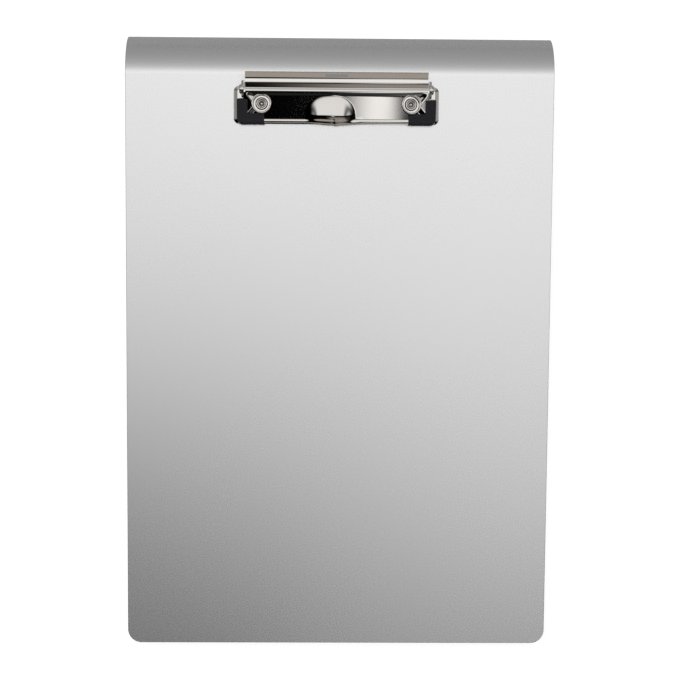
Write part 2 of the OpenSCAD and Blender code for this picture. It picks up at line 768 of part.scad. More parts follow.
base_pan();
side_wall(LEFT);  // side_wall_left
side_wall(RIGHT);  // side_wall_right
tray_rivets();
pivot_pin(LEFT);  // pivot_pin_left
pivot_pin(RIGHT);  // pivot_pin_right
pivot_washer(LEFT);  // pivot_washer_left
pivot_washer(RIGHT);  // pivot_washer_right
foot(LEFT, front_y + foot_front);  // foot_front_left
foot(RIGHT, front_y + foot_front);  // foot_front_right
foot(LEFT, axis_y - foot_rear);  // foot_rear_left
foot(RIGHT, axis_y - foot_rear);  // foot_rear_right
magnet(LEFT);  // magnet_left
magnet(RIGHT);  // magnet_right
lid_bumper(LEFT);  // lid_bumper_left
lid_bumper(RIGHT);  // lid_bumper_right
lid_plate();
cheek(LEFT);  // cheek_left
cheek(RIGHT);  // cheek_right
strike(LEFT);  // strike_left
strike(RIGHT);  // strike_right
clip_base();
clip_rivet(LEFT);  // clip_rivet_left
clip_rivet(RIGHT);  // clip_rivet_right
rivet_washer(LEFT);  // rivet_washer_left
rivet_washer(RIGHT);  // rivet_washer_right
clip_pin();
spring(LEFT);  // spring_left
spring(RIGHT);  // spring_right
clip_jaw();
grip(LEFT);  // grip_left
grip(RIGHT);  // grip_right
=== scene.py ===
"""Storage clipboard box: satin aluminium lid and tray, bright spring clip, rubber corners and feet.

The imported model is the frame. The pieces that are seen are made here, each on the node that it stands for.
Local sizes are in millimetres, and every finished piece is in metres.
"""

from __future__ import annotations

import json
import logging
import math
from collections.abc import Callable, Sequence
from dataclasses import dataclass, field
from enum import Enum

import bmesh
import bpy
from bmesh.types import BMesh, BMFace, BMVert
from mathutils import Matrix, Vector

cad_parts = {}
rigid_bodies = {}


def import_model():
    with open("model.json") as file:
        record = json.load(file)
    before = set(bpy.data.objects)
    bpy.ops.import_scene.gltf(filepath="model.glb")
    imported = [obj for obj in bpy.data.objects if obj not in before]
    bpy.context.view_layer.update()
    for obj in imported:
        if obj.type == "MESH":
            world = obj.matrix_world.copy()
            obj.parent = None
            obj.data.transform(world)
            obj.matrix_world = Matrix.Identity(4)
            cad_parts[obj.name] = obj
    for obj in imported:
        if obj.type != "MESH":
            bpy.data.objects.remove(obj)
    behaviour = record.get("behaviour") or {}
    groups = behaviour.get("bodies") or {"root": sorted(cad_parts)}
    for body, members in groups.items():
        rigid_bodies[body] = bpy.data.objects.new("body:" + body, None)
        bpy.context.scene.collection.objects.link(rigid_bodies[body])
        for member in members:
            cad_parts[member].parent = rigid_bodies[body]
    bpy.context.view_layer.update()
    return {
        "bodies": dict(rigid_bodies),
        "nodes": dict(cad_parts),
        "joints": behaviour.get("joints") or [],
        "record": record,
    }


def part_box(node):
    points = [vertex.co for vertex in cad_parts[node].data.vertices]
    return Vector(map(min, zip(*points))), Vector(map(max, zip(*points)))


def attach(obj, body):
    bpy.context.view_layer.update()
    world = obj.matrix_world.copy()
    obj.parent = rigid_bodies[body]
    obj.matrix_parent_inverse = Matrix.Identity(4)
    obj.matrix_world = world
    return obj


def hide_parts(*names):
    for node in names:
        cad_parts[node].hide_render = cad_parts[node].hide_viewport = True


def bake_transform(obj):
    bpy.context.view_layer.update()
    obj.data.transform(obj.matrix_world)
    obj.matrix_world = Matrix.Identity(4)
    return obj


LOG = logging.getLogger("clipboard_box")
MM = 0.001
MERGED = 0.002
WELDED = 0.0005
TOUCH = 0.001
AXIS_X = Vector((1.0, 0.0, 0.0))


class Side(Enum):
    """The two sides of the box, seen from the front."""

    LEFT = -1
    RIGHT = 1

    @property
    def word(self) -> str:
        """The side's name in the names of nodes and pieces."""
        return self.name.lower()


class Body(Enum):
    """The bodies that the pieces ride on."""

    TRAY = "tray"
    LID = "lid"
    JAW = "jaw"


class Slot(Enum):
    """The record's material slots."""

    LID_SHEET = "lid_sheet"
    TRAY_SHEET = "tray_sheet"
    CHROME = "clip_chrome"
    SPRING = "spring_steel"
    HARDWARE = "hardware_steel"
    RIVET = "rivet_aluminium"
    BLACK_RUBBER = "black_rubber"
    GREY_RUBBER = "grey_rubber"
    WASHER = "washer_plastic"
    MAGNET = "magnet_nickel"


class NodeBench:
    """Adds shader nodes to a tree and links them."""

    def __init__(self, tree: bpy.types.NodeTree) -> None:
        """Clears the tree.

        Args:
            tree: The node tree to fill.
        """
        self.tree = tree
        tree.nodes.clear()

    def add(self, kind: str, **settings: object) -> bpy.types.Node:
        """Adds a node.

        Args:
            kind: The node's type, without the ShaderNode before it.
            settings: Properties of the node.

        Returns:
            The new node.
        """
        node = self.tree.nodes.new("ShaderNode" + kind)
        for key, value in settings.items():
            setattr(node, key, value)
        return node

    def link(self, source: bpy.types.NodeSocket, target: bpy.types.NodeSocket) -> None:
        """Links an output to an input."""
        self.tree.links.new(source, target)

    def math(self, operation: str, *values: object) -> bpy.types.NodeSocket:
        """Adds a Math node.

        Args:
            operation: The node's operation.
            values: Numbers or output sockets, one for each input.

        Returns:
            The node's output.
        """
        node = self.add("Math", operation=operation)
        for socket, value in zip(node.inputs, values):
            if isinstance(value, (int, float)):
                socket.default_value = value
            else:
                self.link(value, socket)
        return node.outputs[0]

    def spread(self, value: bpy.types.NodeSocket, source: tuple[float, float],
               target: tuple[float, float], smooth: bool = False) -> bpy.types.NodeSocket:
        """Maps a value from one range to another, and holds it inside.

        Args:
            value: The output to map.
            source: The range that it comes in.
            target: The range that it leaves in.
            smooth: Whether it eases in and out.

        Returns:
            The mapped output.
        """
        node = self.add("MapRange", interpolation_type="SMOOTHSTEP" if smooth else "LINEAR")
        self.link(value, node.inputs["Value"])
        for name, number in zip(("From Min", "From Max", "To Min", "To Max"), (*source, *target)):
            node.inputs[name].default_value = number
        return node.outputs["Result"]


@dataclass(frozen=True)
class Finish:
    """A surface finish, made of noise at several scales on Object coordinates.

    The scales are in features per metre, and the bump's depth is in millimetres.
    """

    name: str
    colour: tuple[float, float, float]
    shade: tuple[float, float, float]
    metallic: float
    roughness: tuple[float, float]
    cloud_scale: float = 14.0
    grain_scale: tuple[float, float, float] = (1500.0, 1500.0, 1500.0)
    bump_depth: float = 0.004
    fleck: float = 0.35
    gloss: float = 0.5

    def material(self) -> bpy.types.Material:
        """Makes the finish's material once, and gives it back each time.

        Returns:
            The material.
        """
        made = bpy.data.materials.get(self.name)
        if made is not None:
            return made
        made = bpy.data.materials.new(self.name)
        made.use_nodes = True
        bench = NodeBench(made.node_tree)
        output = bench.add("OutputMaterial")
        surface = bench.add("BsdfPrincipled")
        surface.inputs["Metallic"].default_value = self.metallic
        surface.inputs["Specular IOR Level"].default_value = self.gloss
        bench.link(surface.outputs["BSDF"], output.inputs["Surface"])
        place = bench.add("TexCoord").outputs["Object"]
        clouds = self._noise(bench, place, (self.cloud_scale,) * 3, 4.0)
        grain = self._noise(bench, place, self.grain_scale, 2.0)
        tone = bench.math(
            "ADD", bench.math("MULTIPLY", clouds, 1.0 - self.fleck), bench.math("MULTIPLY", grain, self.fleck)
        )
        ramp = bench.add("ValToRGB")
        ramp.color_ramp.elements[0].position = 0.3
        ramp.color_ramp.elements[0].color = (*self.shade, 1.0)
        ramp.color_ramp.elements[1].position = 0.7
        ramp.color_ramp.elements[1].color = (*self.colour, 1.0)
        bench.link(tone, ramp.inputs["Fac"])
        bench.link(ramp.outputs["Color"], surface.inputs["Base Color"])
        bench.link(bench.spread(tone, (0.3, 0.7), self.roughness), surface.inputs["Roughness"])
        bump = bench.add("Bump")
        bump.inputs["Strength"].default_value = 1.0
        bump.inputs["Distance"].default_value = self.bump_depth * MM
        bench.link(grain, bump.inputs["Height"])
        bench.link(bump.outputs["Normal"], surface.inputs["Normal"])
        return made

    @staticmethod
    def _noise(bench: NodeBench, place: bpy.types.NodeSocket, scale: Sequence[float],
               detail: float) -> bpy.types.NodeSocket:
        """Adds noise that may be stretched.

        Args:
            bench: The bench to add it on.
            place: The coordinates.
            scale: Features per metre along X, Y and Z.
            detail: The noise's detail.

        Returns:
            The noise's value.
        """
        mapping = bench.add("Mapping")
        mapping.inputs["Scale"].default_value = tuple(scale)
        bench.link(place, mapping.inputs["Vector"])
        noise = bench.add("TexNoise")
        noise.inputs["Scale"].default_value = 1.0
        noise.inputs["Detail"].default_value = detail
        bench.link(mapping.outputs["Vector"], noise.inputs["Vector"])
        return noise.outputs[0]


SATIN_LID = Finish(
    "satin_lid", (0.885, 0.885, 0.885), (0.865, 0.865, 0.865), 1.0, (0.25, 0.29),
    cloud_scale=5.0, grain_scale=(1300.0, 900.0, 1300.0), bump_depth=0.0012, fleck=0.4,
)
SATIN_TRAY = Finish(
    "satin_tray", (0.72, 0.725, 0.73), (0.67, 0.675, 0.68), 1.0, (0.36, 0.46),
    cloud_scale=6.0, grain_scale=(900.0, 1500.0, 900.0), bump_depth=0.003, fleck=0.5,
)
BRIGHT_CLIP = Finish(
    "bright_clip", (0.775, 0.75, 0.72), (0.73, 0.705, 0.675), 1.0, (0.03, 0.06),
    cloud_scale=60.0, grain_scale=(700.0, 900.0, 900.0), bump_depth=0.0004, fleck=0.25,
)
SPRING_WIRE = Finish(
    "spring_wire", (0.50, 0.49, 0.48), (0.36, 0.35, 0.34), 1.0, (0.22, 0.34),
    cloud_scale=300.0, grain_scale=(2500.0, 2500.0, 2500.0), bump_depth=0.003,
)
PLATED_STEEL = Finish(
    "plated_steel", (0.62, 0.62, 0.61), (0.52, 0.52, 0.51), 1.0, (0.20, 0.32),
    cloud_scale=120.0, grain_scale=(1800.0, 1800.0, 1800.0), bump_depth=0.003,
)
RIVET_METAL = Finish(
    "rivet_metal", (0.70, 0.70, 0.70), (0.60, 0.60, 0.60), 1.0, (0.28, 0.40),
    cloud_scale=150.0, grain_scale=(2000.0, 2000.0, 2000.0), bump_depth=0.004,
)
MAGNET_PLATING = Finish(
    "magnet_plating", (0.56, 0.54, 0.50), (0.47, 0.45, 0.42), 1.0, (0.12, 0.22),
    cloud_scale=160.0, grain_scale=(1600.0, 1600.0, 1600.0), bump_depth=0.002,
)
BLACK_RUBBER = Finish(
    "black_rubber", (0.0045, 0.0045, 0.0045), (0.002, 0.002, 0.002), 0.0, (0.45, 0.62),
    cloud_scale=180.0, grain_scale=(2200.0, 2200.0, 2200.0), bump_depth=0.015, fleck=0.5, gloss=0.05,
)
GREY_RUBBER = Finish(
    "grey_rubber", (0.085, 0.085, 0.088), (0.055, 0.055, 0.058), 0.0, (0.55, 0.75),
    cloud_scale=120.0, grain_scale=(1800.0, 1800.0, 1800.0), bump_depth=0.02, fleck=0.5,
)
NYLON = Finish(
    "nylon_washer", (0.80, 0.79, 0.75), (0.72, 0.71, 0.67), 0.0, (0.35, 0.50),
    cloud_scale=200.0, grain_scale=(1500.0, 1500.0, 1500.0), bump_depth=0.006,
)


@dataclass(frozen=True)
class PiecePlan:
    """What a piece is called, stands for, rides on and is finished with. Lengths are in millimetres."""

    name: str
    nodes: tuple[str, ...]
    body: Body
    finish: Finish
    slot: Slot
    sheet: float = 0.0
    sheet_side: float = -1.0
    soften: float = 0.0
    soften_steps: int = 2
    smooth_angle: float = 35.0


def put_in_scene(name: str, data: bpy.types.ID) -> bpy.types.Object:
    """Makes an object of its data and links it to the scene."""
    made = bpy.data.objects.new(name, data)
    bpy.context.scene.collection.objects.link(made)
    return made


def smooth_mesh(bm: BMesh, name: str, angle: float, finish: Finish) -> bpy.types.Mesh:
    """Makes a smoothly shaded mesh out of a bmesh, which is used up.

    Args:
        bm: The bmesh, in metres.
        name: The mesh's name.
        angle: Edges are sharp from this angle on, in degrees.
        finish: Its finish.

    Returns:
        The mesh.
    """
    bmesh.ops.recalc_face_normals(bm, faces=bm.faces)
    mesh = bpy.data.meshes.new(name)
    bm.to_mesh(mesh)
    bm.free()
    mesh.shade_smooth()
    mesh.set_sharp_from_angle(angle=math.radians(angle))
    mesh.materials.append(finish.material())
    return mesh


def add_piece(bm: BMesh, frame: Matrix, plan: PiecePlan) -> None:
    """Makes a finished object out of a bmesh, at the origin, and puts it on its body.

    Args:
        bm: The shape in its local frame, in millimetres. It is used up.
        frame: The local frame over the row frame, in millimetres.
        plan: The piece's plan.
    """
    bmesh.ops.transform(bm, matrix=Matrix.Scale(MM, 4) @ frame, verts=bm.verts)
    bmesh.ops.remove_doubles(bm, verts=bm.verts, dist=MERGED * MM)
    piece = put_in_scene(plan.name, smooth_mesh(bm, plan.name, plan.smooth_angle, plan.finish))
    if plan.sheet:
        wall = piece.modifiers.new("sheet", "SOLIDIFY")
        wall.thickness = plan.sheet * MM
        wall.offset = plan.sheet_side
        wall.use_even_offset = True
        wall.use_quality_normals = True
    if plan.soften:
        edge = piece.modifiers.new("soft_edges", "BEVEL")
        edge.width = plan.soften * MM
        edge.segments = plan.soften_steps
        edge.limit_method = "ANGLE"
        edge.angle_limit = math.radians(plan.smooth_angle)
        weights = piece.modifiers.new("face_weights", "WEIGHTED_NORMAL")
        weights.keep_sharp = True
    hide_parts(*plan.nodes)
    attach(piece, plan.body.value)
    LOG.info("%s stands for %s", plan.name, ", ".join(plan.nodes))


def chain(bm: BMesh, points: Sequence[Vector], closed: bool = False) -> list[BMVert]:
    """Adds a line of vertices joined by edges.

    Args:
        bm: The bmesh.
        points: The line's points.
        closed: Whether the last point joins the first.

    Returns:
        The new vertices.
    """
    verts = [bm.verts.new(p) for p in points]
    for a, b in zip(verts, verts[1:]):
        bm.edges.new((a, b))
    if closed:
        bm.edges.new((verts[-1], verts[0]))
    return verts


def pull_along_x(bm: BMesh, points: Sequence[Vector], step: float, count: int) -> None:
    """Pulls a line of points along X into a sheet.

    Args:
        bm: The bmesh.
        points: The line's points.
        step: The length of a step.
        count: How many steps.
    """
    verts = chain(bm, points)
    edges = list({e for v in verts for e in v.link_edges})
    bmesh.ops.spin(
        bm, geom=verts + edges, cent=(0.0, 0.0, 0.0), axis=AXIS_X, dvec=(step, 0.0, 0.0), angle=0.0,
        steps=count,
    )


def face_up(bm: BMesh, pick: Callable[[BMFace], float]) -> None:
    """Makes a sheet's normals agree, with the picked face looking up.

    Args:
        bm: The bmesh.
        pick: Gives a number for a face. The face with the highest is picked.
    """
    bmesh.ops.recalc_face_normals(bm, faces=bm.faces)
    if max(bm.faces, key=pick).normal.z < 0.0:
        bmesh.ops.reverse_faces(bm, faces=bm.faces)


def height(face: BMFace) -> float:
    """How high a face's middle is."""
    return face.calc_center_median().z


def thicken_both_ways(bm: BMesh, thick: float) -> None:
    """Gives a sheet its thickness, half to each side of its middle."""
    bm.normal_update()
    half = thick / 2.0
    for vert in bm.verts:
        vert.co += vert.normal * half
    bmesh.ops.solidify(bm, geom=bm.faces[:], thickness=thick)


def plate_face(bm: BMesh, outline: Sequence[Vector]) -> list[BMFace]:
    """Fills a closed outline with one face.

    Args:
        bm: The bmesh.
        outline: The outline's points.

    Returns:
        The new face, in a list.
    """
    return bmesh.ops.contextual_create(bm, geom=chain(bm, outline, True))["faces"]


def thicken(bm: BMesh, faces: list[BMFace], move: Vector) -> None:
    """Extrudes faces into a plate.

    Args:
        bm: The bmesh.
        faces: The faces.
        move: The way and the distance.
    """
    made = bmesh.ops.extrude_face_region(bm, geom=faces)
    bmesh.ops.translate(bm, vec=move, verts=[g for g in made["geom"] if isinstance(g, BMVert)])


def turn(bm: BMesh, profile: Sequence[tuple[float, float]], place: Matrix, steps: int = 48,
         closed: bool = False) -> None:
    """Turns a profile round the local Z axis, as on a lathe.

    Args:
        bm: The bmesh to add to.
        profile: Points of radius and height. An open profile starts and ends on the axis.
        place: Where the turned shape goes, in the bmesh's frame.
        steps: Steps round the axis.
        closed: Whether the profile is a closed loop, as a ring's is.
    """
    verts = chain(bm, [Vector((r, 0.0, h)) for r, h in profile], closed)
    edges = list({e for v in verts for e in v.link_edges})
    bmesh.ops.spin(
        bm, geom=verts + edges, cent=(0.0, 0.0, 0.0), axis=(0.0, 0.0, 1.0),
        angle=math.tau, steps=steps, use_merge=True,
    )
    reached = set(verts)
    frontier = list(verts)
    while frontier:
        for edge in frontier.pop().link_edges:
            for vert in edge.verts:
                if vert not in reached:
                    reached.add(vert)
                    frontier.append(vert)
    bmesh.ops.transform(bm, matrix=place, verts=list(reached))
    bmesh.ops.remove_doubles(bm, verts=[v for v in reached if v.is_valid], dist=WELDED)


def add_turned(plan: PiecePlan, frame: Matrix, profile: Sequence[tuple[float, float]],
               place: Matrix = Matrix.Identity(4), steps: int = 48, closed: bool = False) -> None:
    """Makes a piece that is turned on a lathe.

    Args:
        plan: The piece's plan.
        frame: The local frame over the row frame, in millimetres.
        profile: Points of radius and height.
        place: Where the turned shape goes, in the local frame.
        steps: Steps round the axis.
        closed: Whether the profile is a closed loop.
    """
    bm = bmesh.new()
    turn(bm, profile, place, steps, closed)
    add_piece(bm, frame, plan)


def ring_profile(hole: float, rim: float, low: float, top: float, edge: float) -> list[tuple[float, float]]:
    """Gives a washer's closed profile, with broken edges."""
    return [
        (hole, low + edge), (hole, top - edge), (hole + edge, top), (rim - edge, top),
        (rim, top - edge), (rim, low + edge), (rim - edge, low), (hole + edge, low),
    ]


def rounded(profile: Sequence[tuple[float, float, float]], steps: int = 5) -> list[tuple[float, float]]:
    """Rounds the corners of a profile.

    Args:
        profile: Corners of two coordinates and a radius. The first and the last stay sharp.
        steps: Steps in each round.

    Returns:
        The profile's points.
    """
    points = [profile[0][:2]]
    for a, b, c in zip(profile, profile[1:], profile[2:]):
        corner, radius = Vector(b[:2]), b[2]
        back, ahead = Vector(a[:2]) - corner, Vector(c[:2]) - corner
        half = back.angle(ahead) / 2.0
        if radius <= 0.0 or half > math.radians(89.0):
            points.append(b[:2])
            continue
        run = min(radius / math.tan(half), 0.5 * back.length, 0.5 * ahead.length)
        back.normalize()
        ahead.normalize()
        centre = corner + (back + ahead).normalized() * run / math.cos(half)
        start, stop = corner + back * run - centre, corner + ahead * run - centre
        for step in range(steps + 1):
            arm = start.lerp(stop, step / steps).normalized() * start.length
            points.append(tuple(centre + arm))
    points.append(profile[-1][:2])
    return points


def smooth_step(low: float, high: float, value: float) -> float:
    """Eases from 0 at low to 1 at high.

    Args:
        low: Where the step starts.
        high: Where it ends. It may lie below low.
        value: The place to read it at.

    Returns:
        A number from 0 to 1.
    """
    t = min(1.0, max(0.0, (value - low) / (high - low)))
    return t * t * (3.0 - 2.0 * t)


def along_x() -> Matrix:
    """Turns a lathe shape's axis from Z to X."""
    return Matrix.Rotation(math.radians(90.0), 4, "Y")


@dataclass(frozen=True)
class BoxSizes:
    """The sizes that several parts share, in millimetres, as in the part's source."""

    board_w: float = 230.0
    board_flat: float = 311.0
    roll_r: float = 21.0
    lid_t: float = 1.5
    corner_r: float = 7.5
    front_h: float = 16.4
    roll_tail: float = 3.0
    roll_gap: float = 0.4
    foot_h: float = 3.5
    tray_t: float = 1.2
    front_inset: float = 3.0
    cheek_inset: float = 1.5
    cheek_t: float = 1.5
    washer_t: float = 0.5
    clip_offset: float = -2.0
    clip_end: float = 26.2
    clip_lug_out: float = 50.6
    clip_sheet: float = 1.0
    clip_rivet_x: float = 40.0
    clip_rivet_u: float = 15.4
    clip_pin_u: float = 7.8
    clip_pin_h: float = 4.8
    run: float = 0.05

    @property
    def axis_z(self) -> float:
        """Height of the hinge axis."""
        return self.foot_h + self.roll_r - self.lid_t - self.roll_gap

    @property
    def slope(self) -> float:
        """The closed lid's slope, in radians."""
        reach = math.hypot(self.roll_r, self.board_flat)
        return math.acos((self.front_h - self.axis_z) / reach) - math.atan2(self.board_flat, self.roll_r)

    @property
    def axis_y(self) -> float:
        """Place of the hinge axis behind the middle."""
        length = self.roll_r * (1.0 + math.sin(self.slope)) + self.board_flat * math.cos(self.slope)
        return length / 2.0 - self.roll_r

    @property
    def cheek_out(self) -> float:
        """Distance of the cheeks' outer faces from the middle."""
        return self.board_w / 2.0 - self.cheek_inset

    @property
    def wall_out(self) -> float:
        """Distance of the side walls' outer faces from the middle."""
        return self.cheek_out - self.cheek_t - self.washer_t

    @property
    def axis_frame(self) -> Matrix:
        """On the hinge axis, level with the table."""
        return Matrix.Translation((0.0, self.axis_y, self.axis_z))

    @property
    def lid_frame(self) -> Matrix:
        """On the hinge axis, with Z square to the lid."""
        return self.axis_frame @ Matrix.Rotation(self.slope, 4, "X")

    @property
    def clip_frame(self) -> Matrix:
        """On the lid's face at the start of the roll, in the middle of the clip."""
        return self.lid_frame @ Matrix.Translation((self.clip_offset, 0.0, self.roll_r))

    @property
    def clip_pin(self) -> Matrix:
        """On the clip's pin, in the clip's frame."""
        return Matrix.Translation((0.0, -self.clip_pin_u, self.clip_pin_h))

    def clip_rivet(self, side: Side) -> Matrix:
        """On a clip rivet's axis, in the clip's frame."""
        return Matrix.Translation((side.value * self.clip_rivet_x, -self.clip_rivet_u, 0.0))


SIZES = BoxSizes()


@dataclass
class LidPlate:
    """The writing face and its roll, one bent sheet with round bottom corners."""

    corner_steps: int = 12
    roll_steps: int = 56

    def build(self) -> None:
        """Makes the sheet's outer face, and lets a solidify give it its thickness."""
        bm = bmesh.new()
        bmesh.ops.create_grid(bm, x_segments=1, y_segments=1, size=0.5)
        bmesh.ops.scale(bm, vec=(SIZES.board_w, SIZES.board_flat, 1.0), verts=bm.verts)
        bmesh.ops.translate(bm, vec=(0.0, -SIZES.board_flat / 2.0, SIZES.roll_r), verts=bm.verts)
        corners = [v for v in bm.verts if v.co.y < -TOUCH]
        bmesh.ops.bevel(
            bm, geom=corners, affect="VERTICES", offset=SIZES.corner_r, segments=self.corner_steps,
            profile=0.5, material=-1,
        )
        start = [e for e in bm.edges if all(v.co.y > -TOUCH for v in e.verts)]
        angle = -(math.radians(90.0 + SIZES.roll_tail) + SIZES.slope)
        bmesh.ops.spin(
            bm, geom=start + list({v for e in start for v in e.verts}), cent=(0.0, 0.0, 0.0),
            axis=AXIS_X, angle=angle, steps=self.roll_steps,
        )
        face_up(bm, BMFace.calc_area)
        plan = PiecePlan(
            "lid_sheet", ("lid_plate",), Body.LID, SATIN_LID, Slot.LID_SHEET,
            sheet=SIZES.lid_t, soften=0.3,
        )
        add_piece(bm, SIZES.lid_frame, plan)


@dataclass
class CarriedSheets:
    """Bent sheets whose shape is right already: copies of their nodes, merged, with softened edges."""

    soften: float = 0.2

    def build(self) -> None:
        """Copies each sheet."""
        self._carry("base_pan", "tray_pan", Body.TRAY, SATIN_TRAY, Slot.TRAY_SHEET)
        for side in Side:
            self._carry(f"side_wall_{side.word}", f"tray_wall_{side.word}", Body.TRAY, SATIN_TRAY,
                        Slot.TRAY_SHEET)
            self._carry(f"cheek_{side.word}", f"hinge_cheek_{side.word}", Body.LID, SATIN_TRAY,
                        Slot.LID_SHEET)

    def _carry(self, node: str, name: str, body: Body, finish: Finish, slot: Slot) -> None:
        """Copies a node's mesh, merges its loose triangles and softens its sharp edges.

        Args:
            node: The node to copy.
            name: The new piece's name.
            body: The body that it rides on.
            finish: Its finish.
            slot: Its material slot.
        """
        bm = bmesh.new()
        bm.from_mesh(bpy.data.objects[node].data)
        bmesh.ops.scale(bm, vec=(1.0 / MM,) * 3, verts=bm.verts)
        bmesh.ops.remove_doubles(bm, verts=bm.verts, dist=MERGED)
        bmesh.ops.dissolve_limit(
            bm, angle_limit=math.radians(0.5), verts=bm.verts, edges=bm.edges, use_dissolve_boundaries=False,
        )
        plan = PiecePlan(name, (node,), body, finish, slot, soften=self.soften)
        add_piece(bm, Matrix.Identity(4), plan)


@dataclass
class ClipBase:
    """The clip's plate, riveted to the lid, with a lug turned up at each end."""

    width: float = 110.0
    start: float = 6.0
    corner: float = 3.0
    corner_steps: int = 8
    lug_r: float = 4.6
    lug_step: int = 6
    margin: float = 2.2
    margin_fall: float = 0.6
    bend: float = 0.2
    bend_fall: float = 0.03

    def build(self) -> None:
        """Makes the plate and its lugs."""
        bm = bmesh.new()
        bmesh.ops.create_grid(bm, x_segments=1, y_segments=1, size=0.5)
        end, sheet = SIZES.clip_end, SIZES.clip_sheet
        bmesh.ops.scale(bm, vec=(self.width, end - self.start, 1.0), verts=bm.verts)
        bmesh.ops.translate(bm, vec=(0.0, -(self.start + end) / 2.0, 0.0), verts=bm.verts)
        bmesh.ops.bevel(
            bm, geom=bm.verts[:], affect="VERTICES", offset=self.corner, segments=self.corner_steps,
            profile=0.5, material=-1,
        )
        thicken(bm, bm.faces[:], Vector((0.0, 0.0, sheet)))
        top = [f for f in bm.faces if height(f) > sheet - TOUCH]
        for wide, fall in ((self.margin - self.bend, self.margin_fall), (self.bend, self.bend_fall)):
            bmesh.ops.inset_region(bm, faces=top, thickness=wide, use_even_offset=True)
            kept = {v for f in top for v in f.verts}
            for vert in bm.verts:
                if vert.co.z > sheet - TOUCH and vert not in kept:
                    vert.co.z -= fall
        for side in Side:
            self._lug(bm, side)
        plan = PiecePlan(
            "clip_plate", ("clip_base",), Body.LID, BRIGHT_CLIP, Slot.CHROME, soften=0.22, soften_steps=3,
        )
        add_piece(bm, SIZES.clip_frame, plan)

    def _lug(self, bm: BMesh, side: Side) -> None:
        """Adds a lug: a round end about the pin, on a neck as wide.

        Args:
            bm: The plate's bmesh.
            side: The lug's side.
        """
        sheet, pin_u, pin_h = SIZES.clip_sheet, SIZES.clip_pin_u, SIZES.clip_pin_h
        x = side.value * SIZES.clip_lug_out - (sheet if side is Side.RIGHT else 0.0)
        outline = [
            Vector((x, self.lug_r * math.cos(a) - pin_u, pin_h + self.lug_r * math.sin(a)))
            for a in (math.radians(step) for step in range(0, 181, self.lug_step))
        ]
        outline += [Vector((x, end * self.lug_r - pin_u, 0.0)) for end in (-1.0, 1.0)]
        thicken(bm, plate_face(bm, outline), Vector((sheet, 0.0, 0.0)))


@dataclass(frozen=True)
class SheetRow:
    """A row of the jaw's sheet: its place across the section, and the way out of it."""

    u: float
    h: float
    out_u: float
    out_h: float


@dataclass
class JawSection:
    """The jaw's section: corners of distance from the roll, height and bend radius of the sheet's middle."""

    corners: tuple[tuple[float, float, float], ...] = (
        (-0.8, 12.4, 0.0), (2.1, 10.1, 1.5), (4.6, 10.1, 0.8), (7.0, 8.5, 0.6), (8.7, 8.85, 0.9),
        (23.7, 5.2, 1.2), (25.5, 5.2, 1.5), (25.5, 1.9, 0.0),
    )

    face_top: int = 4
    round_steps: int = 10

    def face_height(self, u: float) -> float:
        """Height of the sheet's middle on the sloping face."""
        (top_u, top_h, _), (end_u, end_h, _) = self.corners[self.face_top:self.face_top + 2]
        return top_h - (u - top_u) * ((top_h - end_h) / (end_u - top_u))

    def rows(self, step: float, from_u: float = 0.0) -> list[SheetRow]:
        """Cuts the section into even rows.

        Args:
            step: About how far apart the rows are.
            from_u: Distance from the roll at which the rows start, on the face. At 0 they start at the tip.

        Returns:
            The rows, down to the lip.
        """
        corners = list(self.corners)
        if from_u > 0.0:
            corners = [(from_u, self.face_height(from_u), 0.0), *corners[self.face_top + 1:]]
        line = [Vector(p) for p in rounded(corners, self.round_steps)]
        lengths = [0.0]
        for a, b in zip(line, line[1:]):
            lengths.append(lengths[-1] + (b - a).length)
        count = round(lengths[-1] / step)
        rows = []
        for i in range(count + 1):
            at = lengths[-1] * i / count
            k = next((k for k in range(1, len(line)) if lengths[k] >= at - 1e-9), len(line) - 1)
            share = (at - lengths[k - 1]) / max(lengths[k] - lengths[k - 1], 1e-9)
            point = line[k - 1].lerp(line[k], share)
            before = line[max(k - 2, 0)]
            after = line[min(k + 1, len(line) - 1)]
            along = (after - before).normalized()
            rows.append(SheetRow(point.x, point.y, -along.y, along.x))
        return rows


